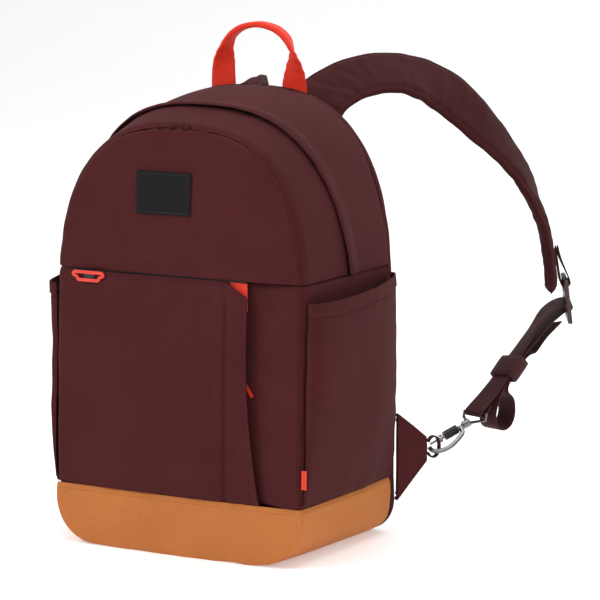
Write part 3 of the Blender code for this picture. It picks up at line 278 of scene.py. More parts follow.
def stitches(name, path, material, body, slot, length=0.0026, pause=0.0011, radius=0.00026):
    """A row of lockstitches along a path of points and normals."""
    spots = [point for point, _ in path]
    reach = [0.0]
    for a, b in zip(spots, spots[1:]):
        reach.append(reach[-1] + (b - a).length)
    verts, faces = [], []
    here = pause
    while here + length < reach[-1]:
        ends = []
        for distance in (here, here + length / 2, here + length):
            k = min(max(int(np.searchsorted(reach, distance)) - 1, 0), len(spots) - 2)
            share = (distance - reach[k]) / max(reach[k + 1] - reach[k], 1e-9)
            ends.append((spots[k].lerp(spots[k + 1], share), path[k][1]))
        run = (ends[2][0] - ends[0][0]).normalized()
        side = run.cross(ends[1][1]).normalized()
        first = len(verts)
        for (spot, up), size, lift in zip(ends, (0.45, 1.0, 0.45), (-0.2, 0.55, -0.2)):
            middle = spot + up * radius * lift
            for k in range(6):
                angle = math.pi * k / 3
                verts.append(middle + (side * math.cos(angle) + up * math.sin(angle)) * radius * size)
        for ring in (0, 6):
            for k in range(6):
                m = (k + 1) % 6
                faces.append((first + ring + k, first + ring + m, first + ring + 6 + m, first + ring + 6 + k))
        faces.append(tuple(first + k for k in reversed(range(6))))
        faces.append(tuple(first + 12 + k for k in range(6)))
        here += length + pause
    mesh = bpy.data.meshes.new(name)
    mesh.from_pydata([tuple(v) for v in verts], [], faces)
    mesh.polygons.foreach_set("use_smooth", [True] * len(mesh.polygons))
    mesh.materials.append(material)
    made = bpy.data.objects.new(name, mesh)
    bpy.context.scene.collection.objects.link(made)
    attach(made, body)
    return made


def stitch_row(name, cloth, across, up, count, thread, body, slot, **pattern):
    """One straight row of stitches: across and up each give one place on the cloth, or the row's two ends."""
    places = [np.linspace(*ends, count) if isinstance(ends, tuple) else np.full(count, ends)
              for ends in (across, up)]
    return stitches(name, cloth.at(*places, 0.0001), thread, body, slot, **pattern)


TAN = cloth_material("boot_cloth", (0.475, 0.160, 0.043), weave=1500, fleck=0.11, sheen=0.03, shade=0.045,
                     bump=0.25, specular=0.15)
TAN_THREAD = cloth_material("boot_thread", (0.40, 0.14, 0.042), weave=4000, by_uv=False, sheen=0.1, bump=0.1)
SHELL = cloth_material("shell_cloth", (0.064, 0.0124, 0.0132), weave=1500, fleck=0.16, sheen=0.02, shade=0.07,
                       bump=0.28, specular=0.09)
SHELL_THREAD = cloth_material("shell_thread", (0.062, 0.013, 0.015), weave=4000, by_uv=False, sheen=0.1,
                              bump=0.1)


def boot_front(u, v):
    z = 0.0002 + (TAN_TOP - 0.0004) * v
    half = half_at(0.0, z)
    x = -half + 2 * half * u
    return x, front_y(x, z), z


boot = Cloth(boot_front, 200, 44, (0, -1, 0))
boot.seam(boot.top, 0.0016, 0.0022)
boot.seam(np.minimum(boot.left, boot.right), 0.0016, 0.0028)
boot.seam(boot.low, 0.0014, 0.0030)
boot.gather(boot.s, boot.top, 0.0017, reach=0.016, wave=0.020, seed=3.1)
boot.gather(boot.s, boot.low, 0.0022, reach=0.020, wave=0.017, seed=8.4)
boot.sag(0.0009, (18, 18, 40), 5.0)
sewn("boot_front_cloth", boot, TAN, "bag", ["boot_front"])
stitch_row("boot_front_stitches", boot, (0.012, 0.988), 0.915, 240, TAN_THREAD, "bag", "boot_fabric")


def boot_round(u, v):
    """Down the right side, under the base and up the left; u runs round and v from front to rear."""
    depth, x, z = v, 0.0, 0.0
    for _ in range(7):
        half, corner = half_width(depth), corner_radius(depth)
        runs = (TAN_TOP - GAP - corner, corner * math.pi / 2, 2 * (half - corner))
        whole = 2 * runs[0] + 2 * runs[1] + runs[2]
        far = min(u, 1 - u) * whole
        if far < runs[0]:
            x, z = half, TAN_TOP - GAP - far
        elif far < runs[0] + runs[1]:
            angle = (far - runs[0]) / corner
            x, z = half - corner * (1 - math.cos(angle)), corner * (1 - math.sin(angle))
        else:
            x, z = half - corner - (far - runs[0] - runs[1]), 0.0
        y = after_front(z) + (before_rear(z) - after_front(z)) * v
        depth = depth_of(y, z)
    return (x if u < 0.5 else -x), y, z


round_boot = Cloth(boot_round, 300, 90, lambda p: p - np.array([0, 0, 0.05]))
for away in (round_boot.low, round_boot.top):
    round_boot.seam(away, 0.0016, 0.0030)
upright = np.clip(round_boot.points[..., 2] / 0.012, 0, 1)
gathers = (folds(round_boot.s, round_boot.low, 0.018, 0.014, 2.2)
           + folds(round_boot.s, round_boot.top, 0.015, 0.016, 6.0))
round_boot.rise += upright * (0.0010 * gathers + 0.0012 * field(round_boot.points, (30, 14, 30), 9.0))
round_boot.seam(np.minimum(round_boot.left, round_boot.right), 0.0015, 0.0022)
round_boot.rise = np.where(round_boot.points[..., 2] < 0.0005, np.minimum(round_boot.rise, 0), round_boot.rise)
sewn("boot_round_cloth", round_boot, TAN, "bag", ["boot_gusset"])
stitch_row("boot_right_stitches", round_boot, 0.0098, (0.02, 0.98), 150, TAN_THREAD, "bag", "boot_fabric")
stitch_row("boot_left_stitches", round_boot, 0.9902, (0.02, 0.98), 150, TAN_THREAD, "bag", "boot_fabric")

# ------------------------------------------------------------ front pocket and slash pocket
# The pocket face is one burgundy cut; its right margin hangs free as the slash flap, with a diagonal cut at the
# top. The facing behind it comes out to the corner seam. Both are sewn into the boot seam and the cross seam.

STITCH_X, EDGE_X, FACING_X, CUT = 0.049, 0.069, 0.0640, 0.0125


def slash_edge(z):
    cut_low = FOLD_Z - 0.0011 - CUT
    if z > cut_low:
        return EDGE_X + (STITCH_X - EDGE_X) * (z - cut_low) / CUT
    return EDGE_X + 0.013 * max(0.0, (0.185 - z) / 0.133) ** 2


def pocket_face(u, v):
    z = TAN_TOP + 0.0003 + (FOLD_Z - 0.0009 - TAN_TOP - 0.0003) * v
    half, edge = half_at(0.0, z), slash_edge(z)
    share = 0.86
    if u < share:
        x = -half + (STITCH_X + half) * u / share
    else:
        x = STITCH_X + (edge - STITCH_X) * (u - share) / (1 - share)
    return x, front_y(x, z), z


pocket = Cloth(pocket_face, 230, 200, (0, -1, 0))
px, pz = pocket.points[..., 0], pocket.points[..., 2]
pocket.seam(pocket.low, 0.0013, 0.0026)
pocket.points[..., 0] += 0.0013 * np.exp(-(pocket.left / 0.0024) ** 2)
pocket.seam(pocket.left, 0.0024, 0.0030)
pocket.seam(pocket.top, 0.0018, 0.0022)
held = np.clip((STITCH_X - px) / 0.01, 0, 1)
pocket.rise -= 0.0016 * np.exp(-((px - STITCH_X) / 0.0020) ** 2) * np.clip((FOLD_Z - pz) / 0.02, 0, 1)
pocket.rise += 0.0011 * np.exp(-((px - STITCH_X - 0.0065) / 0.0045) ** 2)
pocket.rise += 0.0007 * np.exp(-((px - STITCH_X + 0.0065) / 0.0050) ** 2)
pocket.gather(pocket.s, pocket.top, 0.0013, reach=0.016, wave=0.017, seed=4.0)
pocket.gather(pocket.s, pocket.low, 0.0010, reach=0.018, wave=0.022, seed=7.0)
pocket.gather(pocket.t, pocket.left, 0.0009, reach=0.012, wave=0.020, seed=11.0)
pocket.rise += (0.0026 * held * field(pocket.points, (11, 9, 7), 3.3)
                + 0.0009 * field(pocket.points, (30, 1, 14), 1.7))
free = np.clip((px - STITCH_X) / 0.02, 0, 1)
pocket.rise += free * (0.0008 + 0.0007 * field(pocket.points, (1, 1, 24), 6.1))
sewn("front_pocket_cloth", pocket, SHELL, "bag", ["front_pocket_panel"], thickness=0.0016)
stitch_row("slash_root_stitches", pocket, 0.852, (0.01, 0.935), 420, SHELL_THREAD, "bag", "shell_fabric")
stitch_row("slash_hem_stitches", pocket, 0.972, (0.01, 0.935), 420, SHELL_THREAD, "bag", "shell_fabric")
stitch_row("cross_seam_stitches", pocket, (0.01, 0.88), 0.981, 420, SHELL_THREAD, "bag", "shell_fabric")
stitch_row("pocket_low_stitches", pocket, (0.01, 0.99), 0.017, 420, SHELL_THREAD, "bag", "shell_fabric")


def facing(u, v):
    z = TAN_TOP + 0.0003 + (FOLD_Z - 0.0006 - TAN_TOP) * v
    x = FACING_X + (half_at(0.0, z) - FACING_X) * u
    share = min(1.0, max(0.0, (x - FACING_X - 0.004) / 0.044))
    back = front_y(EDGE_X, z) + WALL + 0.0060
    return x, back + (front_y(x, z) - back) * share * share * (3 - 2 * share), z


side_face = Cloth(facing, 70, 180, (0, -1, 0))
side_face.seam(side_face.low, 0.0013, 0.0026)
side_face.points[..., 0] -= 0.0013 * np.exp(-(side_face.right / 0.0024) ** 2)
side_face.seam(side_face.right, 0.0024, 0.0030)
side_face.seam(side_face.top, 0.0015, 0.0026)
side_face.gather(side_face.s, side_face.top, 0.0010, reach=0.015, wave=0.012, seed=5.0)
side_face.gather(side_face.t, side_face.right, 0.0009, reach=0.011, wave=0.018, seed=15.0)
side_face.sag(0.0020, (14, 10, 9), 12.0)
sewn("slash_facing_cloth", side_face, SHELL, "bag", ["slash_facing"], thickness=0.0016)
stitch_row("facing_low_stitches", side_face, (0.02, 0.98), 0.017, 120, SHELL_THREAD, "bag", "shell_fabric")

# ------------------------------------------------------------ clamshell flap
# The upper front and its gusset are one clamshell flap, sewn along the arch with the seam turned in. The front
# cloth is lightly padded, so it stands a little proud and gathers along the curve.


def flap_face(u, v):
    low, top = FOLD_Z + 0.0005, top_height(0.0)
    start = math.asin(((low - SPRING) / (top - SPRING)) ** (POWER / 2))
    angle = start + (math.pi / 2 - 0.010 - start) * v
    z = SPRING + (top - SPRING) * math.sin(angle) ** (2 / POWER)
    x = half_width(0.0) * math.cos(angle) ** (2 / POWER) * (2 * u - 1)
    return x, front_y(x, z), z


def from_arch(points):
    """Distance inwards from the front arch seam."""
    x, z = np.abs(points[..., 0]), points[..., 2]
    half, top = half_width(0.0), top_height(0.0)
    side = np.array([[half_at(0.0, c) for c in row] for row in z]) - x
    above = SPRING + (top - SPRING) * np.clip(1 - (x / half) ** POWER, 0, 1) ** (1 / POWER) - z
    side, above = np.maximum(side, 1e-5), np.maximum(above, 1e-5)
    return side * above / np.sqrt(side ** 2 + above ** 2)


def arch_run(points):
    """Distance along the arch, measured as an angle about the middle of the bag."""
    return np.arctan2(points[..., 2] - 0.25, points[..., 0]) * 0.125


flap = Cloth(flap_face, 200, 150, (0, -1, 0))
edge_away = from_arch(flap.points)
around = np.arctan2(flap.points[..., 2] - SPRING, flap.points[..., 0])
turned_in = (0.0019 * np.exp(-(edge_away / 0.0026) ** 2))[..., None]
flap.points -= turned_in * np.stack([np.cos(around), np.zeros_like(around), np.sin(around)], axis=2)
flap.seam(edge_away, 0.0032, 0.0030)
flap.seam(flap.low, 0.0016, 0.0022)
flap.gather(arch_run(flap.points), edge_away, 0.0012, reach=0.014, wave=0.015, seed=21.0)
flap.gather(flap.s, flap.low, 0.0009, reach=0.012, wave=0.020, seed=25.0)
flap.rise += 0.0022 * field(flap.points, (10, 9, 12), 8.8) * np.clip(edge_away / 0.02, 0, 1)
sewn("flap_front_cloth", flap, SHELL, "flap", ["flap_front_panel"])
stitch_row("flap_low_stitches", flap, (0.01, 0.99), 0.030, 420, SHELL_THREAD, "flap", "shell_fabric")


def zip_line_y(z):
    return 0.0045 - 0.190 * (z - FOLD_Z)


def arch(low, first, last, inset=0.0):
    """Over the arch from the right-hand side to the left; first and last give the y limits."""
    def point(u, v):
        depth, x, z, angle = 0.5, 0.0, low, 0.0
        for _ in range(10):
            half, top = half_width(depth), top_height(depth)
            start = math.asin(((low - SPRING) / (top - SPRING)) ** (POWER / 2))
            angle = start + (math.pi - 2 * start) * u
            x = half * abs(math.cos(angle)) ** (2 / POWER) * (1 if math.cos(angle) > 0 else -1)
            z = SPRING + (top - SPRING) * abs(math.sin(angle)) ** (2 / POWER)
            depth = depth_of(first(z) + (last(z) - first(z)) * v, z)
        y = front_seam_y(z) + (rear_seam_y(z) - front_seam_y(z)) * depth
        around = math.atan2(z - SPRING, x)
        return x - inset * math.cos(around), y, z - inset * math.sin(around)
    return point


def from_axis(points):
    return points * np.array([1, 0, 1]) - np.array([0, 0, 0.19])


def flap_side_edge(z):
    """The side cloth stops short of the zip low down, so that it passes the lower slider as the flap opens."""
    return zip_line_y(z) - 0.0016 - 0.0045 * max(0.0, 1 - (z - FOLD_Z) / 0.018)


flap_side = Cloth(arch(FOLD_Z + 0.0006, after_front, flap_side_edge), 320, 60, from_axis)
flap_side.seam(flap_side.low, 0.0028, 0.0030)
flap_side.gather(flap_side.s, flap_side.low, 0.0010, reach=0.013, wave=0.017, seed=31.0)
flap_side.gather(flap_side.s, flap_side.top, 0.0006, reach=0.010, wave=0.014, seed=35.0)
flap_side.sag(0.0020, (14, 12, 14), 33.0)
sewn("flap_side_cloth", flap_side, SHELL, "flap", ["flap_gusset"])

# ------------------------------------------------------------ rear gusset, storm flap and main zip
# The rear half of the top is one long gusset on the bag. Its front edge is turned over as a storm flap that hides
# the main zip; under it lie two woven tapes with a nylon coil, and two sliders with orange pulls at the left end.

rear = Cloth(arch(FOLD_Z + 0.0003, lambda z: zip_line_y(z) + 0.0018, before_rear), 340, 84, from_axis)
rear.seam(rear.top, 0.0016, 0.0030)
rear.gather(rear.s, rear.top, 0.0008, reach=0.012, wave=0.018, seed=41.0)
rear.rise += 0.0022 * np.exp(-(rear.low / 0.0075) ** 2)
rear.gather(rear.s, rear.low, 0.0008, reach=0.014, wave=0.013, seed=44.0)
rear.sag(0.0022, (12, 12, 12), 47.0)
sewn("gusset_rear_cloth", rear, SHELL, "bag", ["gusset_rear"])
storm = Cloth(arch(FOLD_Z + 0.0003, lambda z: zip_line_y(z) - 0.0062, lambda z: zip_line_y(z) + 0.0022), 340, 20,
              from_axis)
storm.rise += 0.0030 + 0.0012 * np.sin(math.pi * np.clip(storm.top / 0.009, 0, 1))
storm.rise -= 0.0012 * np.clip((0.004 - storm.top) / 0.004, 0, 1)
storm.gather(storm.s, storm.low, 0.0009, reach=0.006, wave=0.014, seed=52.0)
sewn("storm_flap", storm, SHELL, "bag", thickness=0.0013, edge=0.0004)
stitch_row("storm_stitches", storm, (0.005, 0.925), 0.80, 700, SHELL_THREAD,
         "bag", "shell_fabric", radius=0.00022)
TAPE = cloth_material("zip_tape_weave", (0.030, 0.012, 0.013), weave=2200, fleck=0.35, roughness=0.7, sheen=0.1)


def coil(name, path, body, way, pitch=0.0013, size=0.0009):
    """One half of a nylon coil: rounded teeth along the tape's edge, each reaching over the middle."""
    reach, spots = 0.0, []
    for (a, up), (b, _) in zip(path, path[1:]):
        step = (b - a).length
        while reach < step:
            spots.append((a.lerp(b, reach / step), up, (b - a).normalized()))
            reach += pitch
        reach -= step
    verts, faces = [], []
    for spot, up, run in spots:
        side = up.cross(run).normalized() * way
        first = len(verts)
        for out, tall in ((-0.0004, 0.8), (0.0006, 1.0), (0.0014, 0.75)):
            for k in range(6):
                angle = math.pi * k / 3
                wound = up * math.cos(angle) * tall + run * math.sin(angle) * 0.42
                verts.append(spot + side * out + wound * size)
        for ring in (0, 6):
            for k in range(6):
                m = (k + 1) % 6
                faces.append((first + ring + k, first + ring + m, first + ring + 6 + m, first + ring + 6 + k))
        faces.append(tuple(first + k for k in reversed(range(6))))
        faces.append(tuple(first + 12 + k for k in range(6)))
    mesh = bpy.data.meshes.new(name)
    mesh.from_pydata([tuple(v) for v in verts], [], faces)
    mesh.polygons.foreach_set("use_smooth", [True] * len(mesh.polygons))
    mesh.materials.append(NYLON)
    made = bpy.data.objects.new(name, mesh)
    bpy.context.scene.collection.objects.link(made)
    bpy.context.view_layer.update()
    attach(made, body)
    return made


NYLON = cloth_material("coil_nylon", (0.035, 0.014, 0.016), weave=5000, by_uv=False, roughness=0.45, sheen=0.0,
                       bump=0.05, specular=0.5)
for name, body, node, first, last, edge_row, way in (
        ("flap", "flap", "main_zip_tape_flap", lambda z: zip_line_y(z) - 0.0107, lambda z: zip_line_y(z) - 0.0012,
         1.0, 1),
        ("rear", "bag", "main_zip_tape_rear", lambda z: zip_line_y(z) + 0.0012, lambda z: zip_line_y(z) + 0.0107,
         0.0, -1)):
    tape = Cloth(arch(FOLD_Z + 0.0006, first, last, inset=WALL + 2 * GAP), 260, 10, from_axis)
    sewn(f"main_tape_{name}", tape, TAPE, body, [node], thickness=0.0009, edge=0)
    coil(f"main_coil_{name}", tape.at(np.linspace(0.01, 0.99, 500), np.full(500, edge_row), -0.0004), body, way)

# ------------------------------------------------------------ side walls and side pockets
# Each side has a flat wall and, over it, a stretch of shell cloth sewn in at the front, rear and boot seams as a
# drink pocket. Its mouth is turned over in a hem with elastic in it, so the cloth below gathers and bellies out.

for side, name in ((1, "right"), (-1, "left")):
    def wall(u, v):
        z = TAN_TOP + 0.0004 + (FOLD_Z - 0.0005 - TAN_TOP) * v
        y = after_front(z) + (before_rear(z) - after_front(z)) * u
        return side * half_at(depth_of(y, z), z), y, z

    plain = Cloth(wall, 110, 130, (side, 0, 0))
    plain.seam(plain.top, 0.0014, 0.0024)
    plain.seam(np.minimum(plain.left, plain.right), 0.0016, 0.0030)
    plain.gather(plain.s, plain.top, 0.0009, reach=0.010, wave=0.015, seed=60.0 + side)
    sewn(f"side_wall_{name}", plain, SHELL, "bag", [f"side_panel_{name}"], thickness=0.0020)

    def drink_pocket(u, v):
        across = 0.5 - 0.5 * math.cos(math.pi * u) if 0 < u < 1 else u
        across = 0.35 * u + 0.65 * across
        mouth = 0.2265 + 0.009 * across ** 2
        z = TAN_TOP + 0.0006 + (mouth - TAN_TOP - 0.0006) * v
        y = after_front(z) + (before_rear(z) - after_front(z)) * (0.004 + 0.992 * across)
        full = (1 - (1 - v) ** 3) * (1 - 0.12 * v ** 2)
        swell = (0.0155 if side > 0 else 0.0190) * max(0.0, math.sin(math.pi * across)) ** 0.32 * full
        return side * (half_at(depth_of(y, z), z) + 0.0024 + swell), y, z

    pouch = Cloth(drink_pocket, 170, 180, (side, 0, 0))
    pouch.seam(pouch.low, 0.0014, 0.0028)
    pouch.seam(np.minimum(pouch.left, pouch.right), 0.0012, 0.0030)
    pouch.gather(pouch.s, pouch.top, 0.0011, reach=0.020, wave=0.015, seed=64.0 + side)
    pouch.gather(pouch.s, pouch.low, 0.0012, reach=0.024, wave=0.018, seed=68.0 + side)
    pouch.gather(pouch.t, pouch.left, 0.0011, reach=0.016, wave=0.019, seed=71.0 + side)
    pouch.gather(pouch.t, pouch.right, 0.0012, reach=0.018, wave=0.016, seed=74.0 + side)
    pouch.sag(0.0030, (14, 16, 9), 77.0 + side)
    hem = np.clip((0.011 - pouch.top) / 0.0012, 0, 1)
    pouch.rise += 0.0007 * hem - 0.0006 * np.exp(-((pouch.top - 0.0115) / 0.0010) ** 2)
    sewn(f"side_pocket_cloth_{name}", pouch, SHELL, "bag", [f"side_pocket_{name}"],
         thickness=0.0017, edge=0.0006)
    stitch_row(f"side_pocket_stitches_{name}", pouch, (0.02, 0.98), 0.947, 300, SHELL_THREAD, "bag", "shell_fabric")
    stitch_row(f"side_pocket_low_stitches_{name}", pouch, (0.02, 0.98), 0.018, 300, SHELL_THREAD, "bag", "shell_fabric")

# ------------------------------------------------------------ back panel, pads and inside
# The back is a foam-backed shell panel with two air-mesh pads quilted on. Inside are a grey lined laptop sleeve,
# the pocket divider and the lining of the slash pocket, all of plain-woven grey polyester with turned hems.

MESH = cloth_material("air_mesh_knit", (0.036, 0.0095, 0.0105), weave=700, fleck=0.5, roughness=0.9, sheen=0.05,
                      bump=0.9)
LINING = cloth_material("lining_weave", (0.160, 0.160, 0.166), weave=1800, fleck=0.18, roughness=0.8, sheen=0.1)


def back_face(u, v):
    top = top_height(1.0)
    angle = v * math.pi / 2
    z = 0.0008 + (top - 0.0010) * (0.35 * v + 0.65 * math.sin(angle))
    half = half_at(1.0, z)
    return half * (2 * u - 1), rear_seam_y(z) + 0.006, z


back = Cloth(back_face, 150, 190, (0, 1, 0))
rim = np.minimum(np.minimum(back.left, back.right), np.minimum(back.low, top_height(1.0) - back.points[..., 2]))
back.rise -= 0.0022 * np.exp(-(rim / 0.0045) ** 2)
back.gather(back.t, np.minimum(back.left, back.right), 0.0009, reach=0.014, wave=0.018, seed=81.0)
back.sag(0.0009, (10, 10, 9), 84.0)
sewn("back_cloth", back, SHELL, "bag", ["back_panel"], thickness=0.0050, edge=0.0016)
for side, name in ((1, "right"), (-1, "left")):
    def back_pad(u, v):
        z = 0.0455 + 0.289 * v
        return side * (0.0185 + 0.085 * u), rear_seam_y(z) + 0.0146, z

    pad = Cloth(back_pad, 90, 240, (0, 1, 0))
    rim = np.minimum(np.minimum(pad.left, pad.right), np.minimum(pad.low, pad.top))
    pad.rise -= 0.0060 * np.exp(-(rim / 0.0052) ** 2)
    for row in (0.2, 0.4, 0.6, 0.8):
        groove = np.exp(-((pad.t / pad.t.max() - row) * 0.289 / 0.0026) ** 2)
        pad.rise -= 0.0022 * groove * np.clip(rim / 0.01, 0, 1)
    pad.sag(0.0006, (40, 40, 40), 88.0)
    sewn(f"back_pad_mesh_{name}", pad, MESH, "bag", [f"back_pad_{name}"], thickness=0.0014,
                   edge=0)


def inside(name, node, across, up, point, size=0.0008, thick=0.0016, facing=(0, 1, 0), material=LINING):
    made = Cloth(point, across, up, facing)
    hem = 0.0004 * np.clip((0.009 - made.top) / 0.001, 0, 1)
    made.rise += hem
    made.sag(size, (12, 12, 12), 90.0)
    sewn(name, made, material, "bag", [node], thickness=thick, edge=0.0004)
    return made


def sleeve(u, v):
    z = 0.0405 + 0.2440 * v
    y = rear_seam_y(z) - 0.026
    half = half_at(depth_of(y, z), z) - 0.0036
    return half * (2 * u - 1), y, z


def divider(u, v):
    z = 0.0536 + 0.1848 * v
    return (half_at(0.15, z) - 0.0034) * (2 * u - 1), front_seam_y(z) + 0.022, z


def ledge(u, v):
    wide = half_at(0.03, FOLD_Z) - 0.0036
    return -wide + (wide + 0.0625) * u, front_seam_y(FOLD_Z) + WALL + 0.0006 + 0.0188 * v, FOLD_Z - 0.0005


def slash_lining(u, v):
    z = 0.0582 + 0.1684 * v
    return -0.0518 + 0.1055 * u, front_y(EDGE_X, z) + WALL + 0.0060, z


def slash_tape(u, v):
    z = 0.0582 + 0.1684 * v
    return 0.0544 + 0.0090 * u, front_y(EDGE_X, z) + WALL + 0.0060, z


def front_tape(u, v):
    z = 0.2241 + 0.0091 * v
    x = -0.1138 + 0.1585 * u
    return x, front_y(x, z) + WALL + GAP, z


inside("laptop_sleeve_cloth", "laptop_sleeve", 90, 90, sleeve, 0.0009)
inside("pocket_divider_cloth", "front_pocket_divider", 80, 70, divider, 0.0007)
inside("zip_ledge_cloth", "front_zip_ledge", 60, 8, ledge, 0.0002, facing=(0, 0, 1))
inside("slash_lining_cloth", "slash_lining", 60, 60, slash_lining, 0.0003, thick=0.0010, facing=(0, -1, 0))
slash_zip = inside("slash_zip_cloth", "slash_zip_tape", 10, 120, slash_tape, 0.0001, 0.0009, (0, -1, 0), TAPE)
coil("slash_coil", slash_zip.at(np.full(220, 0.5), np.linspace(0.01, 0.99, 220), 0.0002), "bag", 1)
inside("front_tape_cloth", "front_zip_tape_lower", 80, 8, front_tape, 0.0001, 0.0009, (0, -1, 0), TAPE)

# ------------------------------------------------------------ patch, flag tab and orange pulls
# A black woven patch, left bare, is sewn on the flap by a stitched border. The pulls are coated orange fabric
# over moulded frames: they keep their CAD shapes, which are rigid, and take their finishes here.

PATCH = cloth_material("patch_weave", (0.0052, 0.0050, 0.0064), weave=1500, fleck=0.55, roughness=0.75, sheen=0.0,
                       bump=0.6, specular=0.2)
PATCH_THREAD = cloth_material("patch_thread", (0.022, 0.020, 0.024), weave=4000, by_uv=False, roughness=0.6)


def patch_face(u, v):
    x, z = -0.0385 + 0.0535 * u, 0.2935 + 0.0365 * v
    return x, front_y(x, z) - 0.0014, z


patch = Cloth(patch_face, 90, 64, (0, -1, 0))
rim = np.minimum(np.minimum(patch.left, patch.right), np.minimum(patch.low, patch.top))
patch.rise += 0.0005 - 0.0008 * np.exp(-(rim / 0.0008) ** 2) - 0.0004 * np.exp(-((rim - 0.0020) / 0.0006) ** 2)
patch.sag(0.0002, (60, 60, 60), 97.0)
sewn("patch_cloth", patch, PATCH, "flap", ["front_patch"], thickness=0.0012, edge=0.0003)
near, far = 0.040, 0.960
around = [(near + (far - near) * t, 0.058) for t in np.linspace(0, 1, 60)]
around += [(far, 0.058 + 0.884 * t) for t in np.linspace(0, 1, 40)]
around += [(far - (far - near) * t, 0.942) for t in np.linspace(0, 1, 60)]
around += [(near, 0.942 - 0.884 * t) for t in np.linspace(0, 1, 40)]
stitches("patch_stitches", patch.at([a for a, _ in around], [b for _, b in around], 0.0001), PATCH_THREAD, "flap",
         "patch_fabric", length=0.0020, pause=0.0007)


def coated(name, colour, roughness=0.42, metallic=0.0, scale=900.0, bump=0.12, coat=0.0, vary=0.10, specular=0.5,
           wear=0.0):
    """A moulded or plated finish: fine grain in the relief, uneven tone, and scuffs in the roughness."""
    made = bpy.data.materials.new(name)
    made.use_nodes = True
    nodes, links = made.node_tree.nodes, made.node_tree.links
    shader = nodes["Principled BSDF"]
    place = nodes.new("ShaderNodeTexCoord").outputs["Object"]
    grain = wired(nodes, "ShaderNodeTexNoise", (("Scale", scale), ("Detail", 3.0)), Vector=place)
    slow = wired(nodes, "ShaderNodeTexNoise", (("Scale", 140.0), ("Detail", 4.0)), Vector=place)
    ramp = nodes.new("ShaderNodeValToRGB")
    ramp.color_ramp.elements[0].position, ramp.color_ramp.elements[1].position = 0.35, 0.68
    ramp.color_ramp.elements[0].color = (*[c * (1 - vary) for c in colour], 1)
    ramp.color_ramp.elements[1].color = (*[min(1, c * (1 + vary) + wear) for c in colour], 1)
    links.new(slow.outputs["Fac"], ramp.inputs["Fac"])
    links.new(ramp.outputs["Color"], shader.inputs["Base Color"])
    rough = nodes.new("ShaderNodeMapRange")
    rough.inputs["To Min"].default_value = roughness - 0.10
    rough.inputs["To Max"].default_value = roughness + 0.12
    links.new(slow.outputs["Fac"], rough.inputs["Value"])
    links.new(rough.outputs["Result"], shader.inputs["Roughness"])
    relief = wired(nodes, "ShaderNodeBump", (("Strength", bump), ("Distance", 0.0002)), Height=grain.outputs["Fac"])
    links.new(relief.outputs["Normal"], shader.inputs["Normal"])
    shader.inputs["Metallic"].default_value = metallic
    shader.inputs["Coat Weight"].default_value = coat
    shader.inputs["Coat Roughness"].default_value = 0.25
    shader.inputs["Specular IOR Level"].default_value = specular
    return made


def finished(nodes, material, edge=0.0):
    """Gives carried-over CAD pieces their finish and a small rounded edge."""
    for name in nodes:
        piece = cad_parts[name]
        for place in piece.material_slots:
            place.material = material
        if edge:
            soft = piece.modifiers.new("edge", "BEVEL")
            soft.width, soft.segments, soft.limit_method, soft.angle_limit = edge, 2, "ANGLE", math.radians(40)


ORANGE_COAT = coated("orange_coating", (0.72, 0.034, 0.010), roughness=0.42, coat=0.15, vary=0.07)
ZINC = coated("slider_plating", (0.060, 0.055, 0.058), roughness=0.34, metallic=1.0, vary=0.2, scale=600)
finished(["main_pull_upper", "main_pull_lower", "slash_pull"], ORANGE_COAT, 0.0004)
ring_low, ring_high = (Vector(corner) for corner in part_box("front_zip_ring"))
ring_middle, ring_half = (ring_low + ring_high) / 2, (ring_high - ring_low) / 2
ring_bar, corner, ring_path = 0.0030, 0.0046, []
wide_top, wide_low = ring_half.x - ring_bar / 2, ring_half.x - ring_bar / 2 - 0.0018
tall = ring_half.z - ring_bar / 2
for cx, cz, start in ((wide_top - 0.0022, tall - 0.0022, 0), (-wide_top + 0.0022, tall - 0.0022, 90),
                      (-wide_low + corner, -tall + corner, 180), (wide_low - corner, -tall + corner, 270)):
    reach = 0.0022 if cz > 0 else corner
    for k in range(9):
        turned = math.radians(start + k * 90 / 8)
        ring_path.append(Vector((cx + reach * math.cos(turned), 0, cz + reach * math.sin(turned))))
ring_work = bmesh.new()
ring_rings = []
for k, spot in enumerate(ring_path):
    run = (ring_path[(k + 1) % len(ring_path)] - ring_path[k - 1]).normalized()
    out = Vector((run.z, 0, -run.x))
    section = []
    for n in range(12):
        turned = math.pi * n / 6
        c, d = math.cos(turned), math.sin(turned)
        lift = Vector((0, 1, 0)) * ring_half.y * 0.96 * math.copysign(abs(d) ** 0.5, d)
        wide = out * ring_bar / 2 * math.copysign(abs(c) ** 0.6, c)
        section.append(ring_work.verts.new(ring_middle + spot + wide + lift))
    ring_rings.append(section)
for k, section in enumerate(ring_rings):
    after = ring_rings[(k + 1) % len(ring_rings)]
    for n in range(12):
        m = (n + 1) % 12
        ring_work.faces.new((section[n], section[m], after[m], after[n]))
bmesh.ops.recalc_face_normals(ring_work, faces=ring_work.faces)
ring_mesh = bpy.data.meshes.new("ring_pull_frame")
ring_work.to_mesh(ring_mesh)
ring_work.free()
ring_mesh.polygons.foreach_set("use_smooth", [True] * len(ring_mesh.polygons))
ring_mesh.materials.append(ORANGE_COAT)
ring = bpy.data.objects.new("ring_pull_frame", ring_mesh)
bpy.context.scene.collection.objects.link(ring)
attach(ring, "ring_pull")
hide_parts("front_zip_ring")
finished(["main_slider_upper", "main_slider_lower", "front_slider", "slash_slider"], ZINC, 0.0003)
ORANGE_RIB = cloth_material("orange_ribbon", (0.70, 0.040, 0.015), weave=1600, fleck=0.16, roughness=0.7, sheen=0.3,
                            by_uv=False)
finished(["slash_end_tab", "corner_tab"], ORANGE_RIB, 0.0003)

